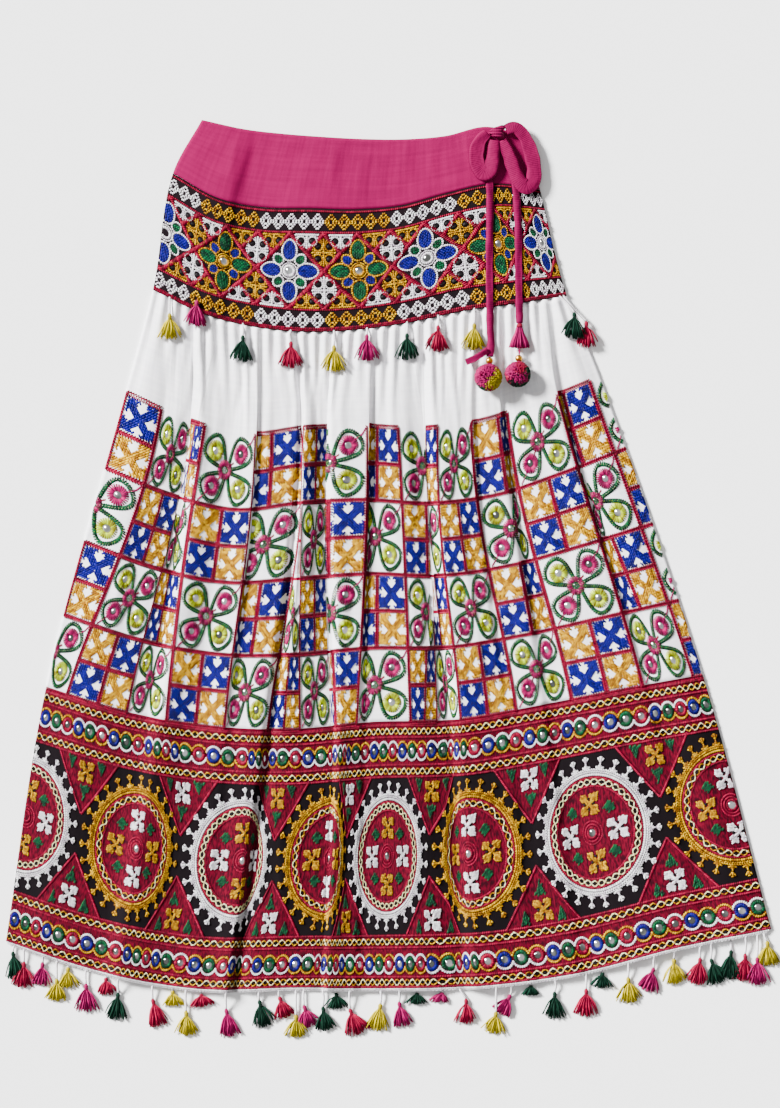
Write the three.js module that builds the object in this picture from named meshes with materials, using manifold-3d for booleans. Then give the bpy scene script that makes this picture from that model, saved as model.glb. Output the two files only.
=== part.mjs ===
// A gathered, embroidered lehenga skirt, laid flat on a table with its front up.
// Units are millimetres. X runs to the right, Y towards the waist and Z up from the table.
// A place on the cloth is told by its level: the distance down the cloth from the waist edge.
import * as THREE from 'three';
import { mergeVertices } from 'three/addons/utils/BufferGeometryUtils.js';
import Module from 'manifold-3d';

const wasm = await Module();
wasm.setup();

// Driving sizes of the cloth
const WAIST = 0;
const YOKE_TOP = 79;
const SEAM = 221;
const BLOCKS = 333;
const BORDER = 681;
const HEM = 981;
const SEAM_GAP = 0.3;
const BACK_THICKNESS = 1.2;
const REST_GAP = 0.35;
const CASING_THICKNESS = 1.5;
const YOKE_THICKNESS = 1.4;
const COTTON_THICKNESS = 1;
const BORDER_THICKNESS = 1.3;
const LOWEST = BACK_THICKNESS + REST_GAP + BORDER_THICKNESS;
const SIDE_ROLL = 11;
const SIDE_START = 0.25;

// Gathers under the yoke
const GATHERS = 36;
const GATHER_DEPTH = 2.3;
const GATHER_LIFT = 5.6;
const GATHER_REACH = { shortest: 62, longest: 150 };
const GATHER_STRENGTH = { least: 0.75, most: 1.15 };
const UNEVEN = { wave: 2.4, phase: 1.3, beat: 0.83 };

// The whole part is moved by this, so that the middle of the cloth is over the origin
const SHIFT = { x: -2.6, y: 0 };

// Outline at each seam: left and right edge, and the height at nine even stations between them
const LEVELS = [
  { level: WAIST, left: -216.5, right: 160.5,
    y: [530.1, 519.6, 513.9, 510.2, 507.8, 507.5, 511.4, 522, 510.4] },
  { level: YOKE_TOP, left: -250.1, right: 175.6,
    y: [468.1, 438.7, 428.5, 427.3, 426.1, 430.8, 445.1, 455.9, 448.9] },
  { level: SEAM, left: -273.3, right: 206.7,
    y: [332.9, 304.4, 289.4, 284, 286.8, 295.3, 308.2, 316.7, 326] },
  { level: BLOCKS, left: -304.6, right: 245.2,
    y: [214.6, 183.2, 165.7, 173.2, 175.4, 172.7, 181.7, 204.5, 232] },
  { level: BORDER, left: -397.4, right: 364.7,
    y: [-128.8, -158.2, -174.2, -177.7, -169.5, -166.6, -150.5, -131.8, -114.8] },
  { level: HEM, left: -443.8, right: 443.6,
    y: [-422.2, -457.8, -477.4, -476.3, -476.9, -473.7, -458.9, -430.4, -408.3] },
];

// One row for each fold line. It starts at a gather under the yoke, and runs down to the hem.
// blocks, border and hem are its X at those levels, and lift is its height over the table.
const FOLDS = [
  { name: 'left edge', gather: 0, blocks: -304.6, border: -397.4, hem: -443.8, lift: [3, 3, 3] },
  { name: 'side crest', gather: 1, blocks: -281.4, border: -353.3, hem: -402.1, lift: [8, 8, 8] },
  { name: 'first valley', gather: 3.5, blocks: -230.4, border: -281.4, hem: -337.1, lift: [4, 3.5, 3.5] },
  { name: 'first crest', gather: 4, blocks: -217.6, border: -261.7, hem: -313.9, lift: [12, 13, 11] },
  { name: 'second valley', gather: 6.5, blocks: -181.7, border: -223.4, hem: -255.9, lift: [6, 7, 6] },
  { name: 'second crest', gather: 9, blocks: -153.8, border: -190.9, hem: -225.7, lift: [11, 9, 7] },
  { name: 'third valley', gather: 9.5, blocks: -149.2, border: -180.5, hem: -214.1, lift: [6, 7, 6] },
  { name: 'third crest', gather: 12, blocks: -107.4, border: -146.9, hem: -188.6, lift: [8, 12, 12] },
  { name: 'fourth valley', gather: 12.5, blocks: -101.6, border: -138.4, hem: -179, lift: [3.5, 3, 3] },
  { name: 'fourth crest', gather: 13, blocks: -96.4, border: -122.5, hem: -160.8, lift: [12, 9, 8] },
  { name: 'fifth valley', gather: 15.5, blocks: -72, border: -64.5, hem: -79.6, lift: [3.5, 3, 3] },
  { name: 'fifth crest', gather: 16, blocks: -66.8, border: -56.2, hem: -70, lift: [12, 12, 11] },
  { name: 'sixth crest', gather: 19, blocks: -23.3, border: -35.5, hem: -42.5, lift: [11, 9, 8] },
  { name: 'sixth valley', gather: 19.5, blocks: -18.1, border: -26.2, hem: -30.9, lift: [5, 6, 5] },
  { name: 'seventh crest', gather: 22, blocks: 17.9, border: 30.6, hem: 42.2, lift: [8, 8, 9] },
  { name: 'deep valley', gather: 23.5, blocks: 42.2, border: 68.9, hem: 85.1, lift: [3, 3, 3] },
  { name: 'deep crest', gather: 24, blocks: 52, border: 84.5, hem: 102, lift: [13, 13, 12] },
  { name: 'eighth crest', gather: 28, blocks: 95, border: 129.2, hem: 164, lift: [11, 9, 8] },
  { name: 'eighth valley', gather: 28.5, blocks: 101.4, border: 138.5, hem: 175.6, lift: [7, 7, 6] },
  { name: 'ninth crest', gather: 30, blocks: 129.2, border: 175.6, hem: 216.2, lift: [10, 9, 8] },
  { name: 'ninth valley', gather: 30.5, blocks: 135, border: 187.2, hem: 231.3, lift: [4, 5, 5] },
  { name: 'tenth crest', gather: 32, blocks: 158.2, border: 239.4, hem: 291.6, lift: [8, 10, 9] },
  { name: 'eleventh crest', gather: 34, blocks: 194.8, border: 291.6, hem: 361.2, lift: [12, 9, 8] },
  { name: 'eleventh valley', gather: 34.5, blocks: 200, border: 303.2, hem: 375.1, lift: [5, 6, 6] },
  { name: 'right side crest', gather: 35, blocks: 222, border: 333.4, hem: 407.6, lift: [8, 8, 8] },
  { name: 'right edge', gather: 36, blocks: 245.2, border: 364.7, hem: 443.6, lift: [3, 3, 3] },
];

// Soft swells of the two upper panels: the share of the width, and the height at three levels
const SWELLS = [
  { share: 0, waist: 3.4, yoke: 3.2, seam: 3.4 },
  { share: 0.07, waist: 5.6, yoke: 6, seam: 6.2 },
  { share: 0.155, waist: 5, yoke: 8, seam: 7.4 },
  { share: 0.178, waist: 4.6, yoke: 4.6, seam: 5.4 },
  { share: 0.34, waist: 6.2, yoke: 6.4, seam: 6.6 },
  { share: 0.56, waist: 4.6, yoke: 5.4, seam: 5.8 },
  { share: 0.76, waist: 6.4, yoke: 7.4, seam: 6.6 },
  { share: 0.93, waist: 5.4, yoke: 5.8, seam: 6.2 },
  { share: 1, waist: 3.4, yoke: 3.2, seam: 3.4 },
];

// Tassels that hang from the lower edge of the yoke: the middle of each, and where its thread leaves
// the piping if that is elsewhere
const YOKE_TASSELS = [
  { x: -253.6, y: 292.3 },
  { x: -222.3, y: 307.4 },
  { x: -168.9, y: 266.8 },
  { x: -113.2, y: 259.8 },
  { x: -63.3, y: 255.2 },
  { x: -25.1, y: 268 },
  { x: 21.3, y: 269.1 },
  { x: 57.3, y: 278.4 },
  { x: 99.1, y: 280.7 },
  { x: 215.1, y: 293.5, rootX: 197.5 },
  { x: 229, y: 283.4, rootX: 202 },
];

// Tassels of the hem: the top of each head and the tip, which lace carries it, and where its thread
// leaves the lace if that is elsewhere
const HEM_TASSELS = [
  { x: -435.7, y: -433.8, tipX: -433.4, tipY: -461.7, lace: 'front' },
  { x: -422.9, y: -445.4, tipX: -422.9, tipY: -472.1, lace: 'front' },
  { x: -400.9, y: -446, tipX: -404.4, tipY: -470, lace: 'front' },
  { x: -371.9, y: -452, tipX: -371.9, tipY: -473, lace: 'back' },
  { x: -384.7, y: -465.2, tipX: -385.8, tipY: -488, lace: 'front' },
  { x: -351, y: -471, tipX: -349.9, tipY: -500, lace: 'front' },
  { x: -327.8, y: -462, tipX: -327.8, tipY: -481, lace: 'back' },
  { x: -313.2, y: -481.4, tipX: -318.1, tipY: -509.2, lace: 'front' },
  { x: -273.8, y: -488.4, tipX: -268.1, tipY: -517.4, lace: 'front' },
  { x: -250.5, y: -476, tipX: -250.5, tipY: -494.2, lace: 'back' },
  { x: -235, y: -502.3, tipX: -233.9, tipY: -527.8, lace: 'front' },
  { x: -217.5, y: -476, tipX: -215.5, tipY: -495, lace: 'back' },
  { x: -188.6, y: -500, tipX: -184, tipY: -529, lace: 'front' },
  { x: -150.3, y: -490.1, tipX: -143.4, tipY: -517.4, lace: 'front' },
  { x: -127.1, y: -486, tipX: -119, tipY: -507, lace: 'front' },
  { x: -98.5, y: -495.9, tipX: -91.5, tipY: -518.5, lace: 'front' },
  { x: -107.5, y: -507, tipX: -107.5, tipY: -530, lace: 'front' },
  { x: -76.4, y: -497.6, tipX: -72.9, tipY: -522, lace: 'front' },
  { x: -60.5, y: -480, tipX: -60.5, tipY: -497.6, lace: 'back' },
  { x: -45.4, y: -500, tipX: -35.5, tipY: -526.6, lace: 'front' },
  { x: -9.3, y: -494, tipX: -13.3, tipY: -522, lace: 'front' },
  { x: 12.1, y: -491.8, tipX: 15.5, tipY: -517.4, lace: 'front' },
  { x: 33, y: -474, tipX: 33, tipY: -492, lace: 'back' },
  { x: 61.9, y: -472, tipX: 61.9, tipY: -490, lace: 'back' },
  { x: 89.8, y: -488.4, tipX: 89.8, tipY: -513.9, lace: 'front', rootX: 82 },
  { x: 141.8, y: -483.7, tipX: 131.1, tipY: -503.4, lace: 'front' },
  { x: 124.7, y: -503.4, tipX: 121.4, tipY: -525.5, lace: 'front' },
  { x: 165.2, y: -462, tipX: 165.2, tipY: -482, lace: 'back' },
  { x: 192.6, y: -480.2, tipX: 191.9, tipY: -508.1, lace: 'front' },
  { x: 229, y: -476.8, tipX: 229, tipY: -505.8, lace: 'front' },
  { x: 247.8, y: -452, tipX: 247.8, tipY: -473, lace: 'back' },
  { x: 277.7, y: -463.4, tipX: 278.9, tipY: -490.1, lace: 'front' },
  { x: 307.9, y: -452.4, tipX: 298.6, tipY: -476, lace: 'front' },
  { x: 330.6, y: -442, tipX: 331.7, tipY: -468, lace: 'front' },
  { x: 361.5, y: -440.8, tipX: 358.2, tipY: -468.6, lace: 'front' },
  { x: 373.5, y: -442, tipX: 381.6, tipY: -467.5, lace: 'front' },
  { x: 397.3, y: -432, tipX: 395, tipY: -462.2, lace: 'back' },
  { x: 413.4, y: -436.2, tipX: 413.6, tipY: -464.8, lace: 'front' },
  { x: 427.3, y: -440.4, tipX: 428.5, tipY: -468.6, lace: 'front' },
  { x: 438.9, y: -421.6, tipX: 441.1, tipY: -447.1, lace: 'front' },
];

// The drawstring: a flat fabric cord, tied in a bow at the waist. Its routes are X and Y on the cloth.
const CORD = { width: 8.5, thickness: 3, sides: 8, step: 9 };
const KNOT = { x: 125.7, y: 515, halfWidth: 9, halfHeight: 8, halfDepth: 4.6, fall: 6 };
const END_LEFT = [
  [120, 506.4], [117.4, 496.8], [116.6, 480], [117, 460.5], [117.3, 430], [117, 402.5], [116.8, 370], [117, 332.9],
  [117.2, 318], [117.3, 303], [117.6, 286.5], [118.6, 273],
];
const END_RIGHT = [
  [131.2, 506.2], [134, 500.4], [137.6, 492], [141.4, 481], [144.6, 468], [147.2, 450], [148.8, 430], [150.1, 402.5],
  [150.6, 375], [150.9, 344.5], [151, 332], [151.2, 319], [151.4, 306],
];
const LOOP_LEFT = [
  [114.5, 514], [107.2, 507], [102.6, 497], [101.6, 485], [104.6, 473.6], [110.6, 467.6], [117.2, 470.6],
  [120.2, 479.6], [121.6, 491], [122.6, 500.4], [123.4, 505.6],
];
const LOOP_RIGHT = [
  [135.8, 517.8], [146, 520.4], [154, 514.6], [160.4, 503.6], [165.6, 488], [168.6, 471], [166.4, 457],
  [158.4, 452.6], [150.6, 460], [144.6, 474], [139.4, 489], [134.2, 500.4], [131.4, 505.6],
];
const LOOP_RISE = 3.6;
const POMPOM_LEFT = { x: 115.3, y: 230.8, radius: 16.5 };
const POMPOM_RIGHT = { x: 149.4, y: 234.6, radius: 15.5 };
const BEAD = { radius: 4.4, drop: 6, clearance: 0.45, cordGap: 0.4, sides: 8 };
const POMPOM_FLATNESS = 0.82;
const BALL_SIDES = 12;
const THREAD = { radius: 1.2, sides: 6, gap: 0.8 };
const BELL = { x: 151.5, top: 293.5, bottom: 264.5, radius: 12.5, height: 9 };
const BELL_PROFILE = [
  { drop: 0, radius: 3.5 },
  { drop: 0.18, radius: 5 },
  { drop: 0.62, radius: 9.4 },
  { drop: 1, radius: 12.5 },
];

// Yarn tassels
const TASSEL = {
  threadRadius: 0.8, shoulder: 1.2, neck: 2.1, headLength: 8, headShare: 1 / 3, length: 27, fan: 7.5,
  lockRoot: 1.2, lockTip: 1.1, lockOffset: 0.7, lockShare: 0.93, sides: 3,
};
const TASSEL_REST = { hemFront: 1.1, rootSink: 0.6 };
const LACE = { depth: 3.2, thickness: 1, inset: 0.15, frontColumns: 72, backColumns: 36 };
const PIPING = { depth: 3.6, thickness: 1.3, inset: 0.004, columns: 40 };

const COLOURS = {
  magenta: 0xc4006a, ground: 0x2a1622, crimson: 0xc80f4b, cotton: 0xf4f1ee, borderRed: 0xb90f41,
  pink: 0xe11478, gold: 0xe6b41e, lace: 0xf6f4f0,
};

// A smooth curve through the rows of a table, read at any place along it
function smoothRead(places, values, at) {
  const last = places.length - 1;
  if (at <= places[0]) return values[0];
  if (at >= places[last]) return values[last];
  let row = 0;
  while (at > places[row + 1]) row += 1;
  const chord = (i) => (values[i + 1] - values[i]) / (places[i + 1] - places[i]);
  const slope = (i) => (i === 0 ? chord(0) : i === last ? chord(last - 1) : (chord(i - 1) + chord(i)) / 2);
  const span = places[row + 1] - places[row];
  const t = (at - places[row]) / span;
  const rise = values[row + 1] - values[row];
  const a = slope(row) * span;
  const b = slope(row + 1) * span;
  return values[row] + t * (a + t * (3 * rise - 2 * a - b + t * (a + b - 2 * rise)));
}

const mix = (a, b, t) => a + (b - a) * t;
const clamp01 = (t) => Math.min(1, Math.max(0, t));

function easeInOut(t) {
  const c = clamp01(t);
  return c * c * (3 - 2 * c);
}

const LEVEL_PLACES = LEVELS.map((row) => row.level);
const STATIONS = LEVELS[0].y.map((_, i, all) => i / (all.length - 1));
const leftEdge = (level) => smoothRead(LEVEL_PLACES, LEVELS.map((row) => row.left), level);
const rightEdge = (level) => smoothRead(LEVEL_PLACES, LEVELS.map((row) => row.right), level);

// Y of a place on the cloth, from its X and its level. Below the hem it runs straight on.
function heightOnTable(x, level) {
  const onCloth = Math.min(level, HEM);
  const share = clamp01((x - leftEdge(onCloth)) / (rightEdge(onCloth) - leftEdge(onCloth)));
  const rows = LEVELS.map((row) => smoothRead(STATIONS, row.y, share));
  return smoothRead(LEVEL_PLACES, rows, onCloth) - (level - onCloth);
}

// X and lift of every fold line at a level
const FOLD_LEVELS = [SEAM, BLOCKS, BORDER, HEM];
function foldsAt(level) {
  const left = leftEdge(SEAM);
  const pitch = (rightEdge(SEAM) - left) / GATHERS;
  return FOLDS.map((fold) => {
    const xs = [left + pitch * fold.gather, fold.blocks, fold.border, fold.hem];
    const lifts = [GATHER_LIFT, ...fold.lift];
    const x = smoothRead(FOLD_LEVELS, xs, level);
    return { gather: fold.gather, x, lift: smoothRead(FOLD_LEVELS, lifts, level) };
  });
}

// Outermost fold lines follow the outline exactly
function foldLines(level) {
  const lines = foldsAt(level);
  lines[0].x = leftEdge(level);
  lines[lines.length - 1].x = rightEdge(level);
  return lines;
}

const lineCache = new Map();
function linesOf(level) {
  const key = Math.min(HEM, Math.max(SEAM, level));
  if (!lineCache.has(key)) lineCache.set(key, foldLines(key));
  return lineCache.get(key);
}

// X of a gather number at a level
function gatherX(gather, level) {
  const lines = linesOf(level);
  let i = 0;
  while (i < lines.length - 2 && gather > lines[i + 1].gather) i += 1;
  return mix(lines[i].x, lines[i + 1].x, (gather - lines[i].gather) / (lines[i + 1].gather - lines[i].gather));
}

// Each gather is a little deeper or shallower than the next, and runs out sooner or later
const uneven = (n) => 0.5 + 0.5 * Math.sin(n * UNEVEN.wave + UNEVEN.phase) * Math.cos(n * UNEVEN.beat);

// Top of the gathered cloth over the table
function skirtTop(x, level) {
  const lines = linesOf(level);
  let i = 0;
  while (i < lines.length - 2 && x > lines[i + 1].x) i += 1;
  const t = clamp01((x - lines[i].x) / (lines[i + 1].x - lines[i].x));
  const fold = mix(lines[i].lift, lines[i + 1].lift, easeInOut(t));
  const gather = mix(lines[i].gather, lines[i + 1].gather, t);
  const odd = uneven(Math.round(gather));
  const reach = mix(GATHER_REACH.shortest, GATHER_REACH.longest, odd);
  const fading = 1 - easeInOut((level - SEAM) / reach);
  const strength = mix(GATHER_STRENGTH.least, GATHER_STRENGTH.most, odd);
  const ripple = GATHER_DEPTH * strength * fading * Math.cos(2 * Math.PI * gather);
  const edge = Math.min(x - leftEdge(Math.min(level, HEM)), rightEdge(Math.min(level, HEM)) - x);
  const free = Math.max(LOWEST, fold + ripple);
  return mix(LOWEST, free, easeInOut(edge / SIDE_ROLL + SIDE_START));
}

// Top of the waistband and the yoke over the table
const SWELL_SHARES = SWELLS.map((row) => row.share);
function upperTop(x, level) {
  const share = clamp01((x - leftEdge(level)) / (rightEdge(level) - leftEdge(level)));
  const at = (name) => smoothRead(SWELL_SHARES, SWELLS.map((row) => row[name]), share);
  return smoothRead([WAIST, YOKE_TOP, SEAM], [at('waist'), at('yoke'), at('seam')], level);
}

const frontTop = (x, level) => (level < SEAM ? upperTop(x, level) : skirtTop(x, level));

// Level of a place on the table, found by halving
const HALVINGS = 24;
function levelAt(x, y) {
  let low = WAIST;
  let high = HEM;
  for (let turn = 0; turn < HALVINGS; turn += 1) {
    const middle = (low + high) / 2;
    if (heightOnTable(x, middle) > y) low = middle;
    else high = middle;
  }
  return (low + high) / 2;
}

// Highest cloth within a small square round a place, with the piping where that crosses it
const SPOTS = [-1, -0.5, 0, 0.5, 1];
function clothUnder(x, y, reach) {
  let top = 0;
  for (const across of SPOTS) {
    for (const along of SPOTS) {
      const spotX = x + across * reach;
      const level = levelAt(spotX, y + along * reach);
      const onPiping = level > SEAM - PIPING.depth * 2 && level < SEAM;
      top = Math.max(top, frontTop(spotX, level) + (onPiping ? SEAM_GAP + PIPING.thickness : 0));
    }
  }
  return top;
}

// The underside of a wall: as far below the top as the cloth is thick, also across a steep fold
const ARC = [-1, -0.75, -0.4, 0, 0.4, 0.75, 1];
function undersideOf(top, x, level, thickness) {
  let lowest = Infinity;
  for (const part of ARC) {
    const down = thickness * Math.sqrt(1 - part * part);
    lowest = Math.min(lowest, top(x + part * thickness, level) - down);
  }
  return Math.max(lowest, BACK_THICKNESS + REST_GAP);
}

// A closed wall over a grid: its top sheet, its underside and a rim all round
function wallGeometry(columns, rows, topPoint, bottomPoint) {
  const wide = columns.length;
  const sheet = wide * rows.length;
  const points = [];
  for (const point of [topPoint, bottomPoint]) {
    for (const row of rows) for (const column of columns) points.push(...point(column, row));
  }
  const faces = [];
  const quad = (a, b, c, d) => faces.push(a, b, c, a, c, d);
  for (let r = 0; r < rows.length - 1; r += 1) {
    for (let c = 0; c < wide - 1; c += 1) {
      const at = r * wide + c;
      quad(at, at + wide, at + wide + 1, at + 1);
      quad(sheet + at, sheet + at + 1, sheet + at + wide + 1, sheet + at + wide);
    }
  }
  for (let c = 0; c < wide - 1; c += 1) {
    const foot = (rows.length - 1) * wide + c;
    quad(c, c + 1, sheet + c + 1, sheet + c);
    quad(foot + 1, foot, sheet + foot, sheet + foot + 1);
  }
  for (let r = 0; r < rows.length - 1; r += 1) {
    const left = r * wide;
    const right = left + wide - 1;
    quad(left + wide, left, sheet + left, sheet + left + wide);
    quad(right, right + wide, sheet + right + wide, sheet + right);
  }
  const geometry = new THREE.BufferGeometry();
  geometry.setAttribute('position', new THREE.Float32BufferAttribute(points, 3));
  geometry.setIndex(faces);
  return geometry;
}

const range = (from, to, count) => Array.from({ length: count + 1 }, (_, i) => mix(from, to, i / count));

// A front panel of the gathered part: its columns follow the fold lines
function gatheredFront(from, to, rows, perGather, thickness) {
  const columns = range(0, GATHERS, GATHERS * perGather);
  const start = from + SEAM_GAP / 2;
  const end = to < HEM ? to - SEAM_GAP / 2 : to;
  const levels = rows.map((row) => Math.min(end, Math.max(start, row)));
  const place = (gather, level, z) => {
    const x = gatherX(gather, level);
    return [x, heightOnTable(x, level), z(x)];
  };
  return wallGeometry(columns, levels,
    (gather, level) => place(gather, level, (x) => skirtTop(x, level)),
    (gather, level) => place(gather, level, (x) => undersideOf(skirtTop, x, level, thickness)));
}

// A front panel of the plain upper part: its columns are even shares of the width
function upperFront(from, to, rowCount, columnCount, thickness) {
  const start = from === WAIST ? from : from + SEAM_GAP / 2;
  const place = (share, level, z) => {
    const x = mix(leftEdge(level), rightEdge(level), share);
    return [x, heightOnTable(x, level), z(x)];
  };
  return wallGeometry(range(0, 1, columnCount), range(start, to - SEAM_GAP / 2, rowCount),
    (share, level) => place(share, level, (x) => upperTop(x, level)),
    (share, level) => place(share, level, (x) => undersideOf(upperTop, x, level, thickness)));
}

// A back panel lies flat on the table
function backPanel(from, to, rowCount, columnCount) {
  const start = from === WAIST ? from : from + SEAM_GAP / 2;
  const end = to === HEM ? to : to - SEAM_GAP / 2;
  const place = (share, level, z) => {
    const x = mix(leftEdge(level), rightEdge(level), share);
    return [x, heightOnTable(x, level), z];
  };
  return wallGeometry(range(0, 1, columnCount), range(start, end, rowCount),
    (share, level) => place(share, level, BACK_THICKNESS),
    (share, level) => place(share, level, 0));
}

function asSolid(geometry) {
  const merged = mergeVertices(geometry, 1e-4);
  return new wasm.Manifold(new wasm.Mesh({
    numProp: 3,
    vertProperties: new Float32Array(merged.attributes.position.array),
    triVerts: new Uint32Array(merged.index.array),
  }));
}

function joined(geometries) {
  let whole = null;
  for (const geometry of geometries) {
    const solid = asSolid(geometry);
    whole = whole ? whole.add(solid) : solid;
  }
  const mesh = whole.getMesh();
  const geometry = new THREE.BufferGeometry();
  geometry.setAttribute('position', new THREE.Float32BufferAttribute(mesh.vertProperties, 3));
  geometry.setIndex(Array.from(mesh.triVerts));
  return geometry;
}

// A straight lock or thread of few sides through a row of centres, each with its own radius
function lock(centres, radii, sides) {
  const points = [];
  const faces = [];
  centres.forEach((centre, i) => {
    const before = centres[Math.max(0, i - 1)];
    const after = centres[Math.min(centres.length - 1, i + 1)];
    const along = after.clone().sub(before).normalize();
    const across = new THREE.Vector3(0, 0, 1).cross(along).normalize();
    const up = along.clone().cross(across);
    for (let s = 0; s < sides; s += 1) {
      const angle = (2 * Math.PI * s) / sides + Math.PI / sides;
      const point = centre.clone()
        .addScaledVector(across, radii[i] * Math.cos(angle))
        .addScaledVector(up, radii[i] * Math.sin(angle));
      points.push(point.x, point.y, point.z);
    }
  });
  for (let i = 0; i < centres.length - 1; i += 1) {
    for (let s = 0; s < sides; s += 1) {
      const a = i * sides + s;
      const b = i * sides + ((s + 1) % sides);
      faces.push(a, b, b + sides, a, b + sides, a + sides);
    }
  }
  const end = (centres.length - 1) * sides;
  for (let s = 1; s < sides - 1; s += 1) {
    faces.push(0, s + 1, s);
    faces.push(end, end + s, end + s + 1);
  }
  const geometry = new THREE.BufferGeometry();
  geometry.setAttribute('position', new THREE.Float32BufferAttribute(points, 3));
  geometry.setIndex(faces);
  return geometry;
}

// A yarn tassel: its thread, bound head and middle lock are one, and the side locks fan out from the neck
function tasselPieces(threadPlaces, head, tip, tipHeight) {
  const along = tip.clone().sub(head).setZ(0);
  const length = along.length();
  along.normalize();
  const across = new THREE.Vector3(-along.y, along.x, 0);
  const shoulder = head.clone().addScaledVector(along, TASSEL.shoulder);
  const neck = head.clone().addScaledVector(along, Math.min(TASSEL.headLength, length * TASSEL.headShare));
  const end = head.clone().addScaledVector(along, length).setZ(tipHeight);
  const thread = threadPlaces.map(() => TASSEL.threadRadius);
  const pieces = [lock([...threadPlaces, head, shoulder, neck, end],
    [...thread, TASSEL.threadRadius, TASSEL.neck, TASSEL.neck, TASSEL.lockTip], TASSEL.sides)];
  for (const side of [-1, 1]) {
    const start = neck.clone().addScaledVector(along, -1).addScaledVector(across, side * TASSEL.lockOffset);
    const outer = head.clone().addScaledVector(along, length * TASSEL.lockShare);
    outer.addScaledVector(across, side * TASSEL.fan).setZ(tipHeight);
    pieces.push(lock([start, outer], [TASSEL.lockRoot, TASSEL.lockTip], TASSEL.sides));
  }
  return pieces;
}

// Crimson piping over the lower edge of the yoke, with the row of tassels that hangs from it
const ALONG_TASSEL = [0.15, 0.5, 0.85];
function yokePiping() {
  const columns = range(PIPING.inset, 1 - PIPING.inset, PIPING.columns);
  const levels = [SEAM - SEAM_GAP - PIPING.depth, SEAM - SEAM_GAP];
  const at = (share, level) => mix(leftEdge(level), rightEdge(level), share);
  const sheet = (rise) => (share, level) => {
    const x = at(share, level);
    return [x, heightOnTable(x, level), upperTop(x, level) + SEAM_GAP + rise];
  };
  const tape = wallGeometry(columns, levels, sheet(PIPING.thickness), sheet(0));
  const pieces = [tape];
  for (const tassel of YOKE_TASSELS) {
    const half = TASSEL.length / 2;
    const clear = TASSEL.neck + REST_GAP;
    const rootX = tassel.rootX ?? tassel.x;
    const seamY = heightOnTable(rootX, SEAM - PIPING.depth / 2);
    const rootZ = upperTop(rootX, SEAM - PIPING.depth / 2) + SEAM_GAP + TASSEL_REST.rootSink;
    const root = new THREE.Vector3(rootX, seamY, rootZ);
    const over = Math.max(...ALONG_TASSEL.map((t) => {
      const y = mix(seamY - PIPING.depth, tassel.y - half, t);
      return clothUnder(tassel.x, Math.min(y, seamY - PIPING.depth), TASSEL.fan);
    }));
    const head = new THREE.Vector3(tassel.x, tassel.y + half, over + clear);
    const tip = new THREE.Vector3(tassel.x, tassel.y - half, 0);
    const tipHeight = clothUnder(tassel.x, tassel.y - half, TASSEL.fan) + TASSEL.lockTip + REST_GAP;
    const above = new THREE.Vector3(rootX, seamY - PIPING.depth * 0.6, Math.max(root.z, over + clear));
    pieces.push(...tasselPieces([root, above], head, tip, Math.max(tipHeight, over + clear - 1)));
  }
  return joined(pieces);
}

// Narrow lace along the hem with its tassels
function hemLace(side) {
  const front = side === 'front';
  const start = HEM + SEAM_GAP;
  const levels = [start, start + LACE.depth];
  const top = (x) => (front ? skirtTop(x, HEM) : BACK_THICKNESS);
  const columns = range(LACE.inset, GATHERS - LACE.inset, front ? LACE.frontColumns : LACE.backColumns);
  const at = (gather) => gatherX(gather, HEM);
  const tape = wallGeometry(columns, levels,
    (gather, level) => [at(gather), heightOnTable(at(gather), level), top(at(gather))],
    (gather, level) => [at(gather), heightOnTable(at(gather), level), top(at(gather)) - LACE.thickness]);
  const pieces = [tape];
  const ends = [at(columns[0]) + LACE.depth, at(columns.at(-1)) - LACE.depth];
  for (const tassel of HEM_TASSELS.filter((row) => row.lace === side)) {
    const rootX = Math.min(ends[1], Math.max(ends[0], tassel.rootX ?? tassel.x));
    const rootY = heightOnTable(rootX, start + LACE.depth / 2);
    const root = new THREE.Vector3(rootX, rootY, top(rootX) - LACE.thickness / 2);
    const rest = TASSEL.neck + (front ? TASSEL_REST.hemFront : REST_GAP);
    const head = new THREE.Vector3(tassel.x, Math.min(tassel.y, rootY - LACE.depth), rest);
    const tip = new THREE.Vector3(tassel.tipX, tassel.tipY, 0);
    pieces.push(...tasselPieces([root], head, tip, TASSEL.lockTip + REST_GAP));
  }
  return joined(pieces);
}

// The cord's route lies on the cloth under it, and may end at a given place
function cordRoute(points, rise, end) {
  const route = points.map(([x, y]) => {
    const z = clothUnder(x, y, CORD.width / 2) + REST_GAP + CORD.thickness / 2 + rise;
    return new THREE.Vector3(x, y, z);
  });
  return end ? [...route, end] : route;
}

function tubeAlong(route, thickness, width, sides, step) {
  const curve = new THREE.CatmullRomCurve3(route);
  const section = new THREE.Shape();
  for (let s = 0; s < sides; s += 1) {
    const angle = (2 * Math.PI * s) / sides + Math.PI / sides;
    const place = [(thickness / 2) * Math.cos(angle), (width / 2) * Math.sin(angle)];
    if (s === 0) section.moveTo(...place);
    else section.lineTo(...place);
  }
  section.closePath();
  const steps = Math.max(3, Math.round(curve.getLength() / step));
  return new THREE.ExtrudeGeometry(section, { extrudePath: curve, steps, curveSegments: 1 });
}

const cordTube = (points, rise, end) =>
  tubeAlong(cordRoute(points, rise, end), CORD.thickness, CORD.width, CORD.sides, CORD.step);

function ball(x, y, z, radii, sides) {
  const geometry = new THREE.SphereGeometry(1, sides, Math.round(sides * 0.7));
  geometry.scale(...radii);
  geometry.translate(x, y, z);
  return geometry;
}

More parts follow.
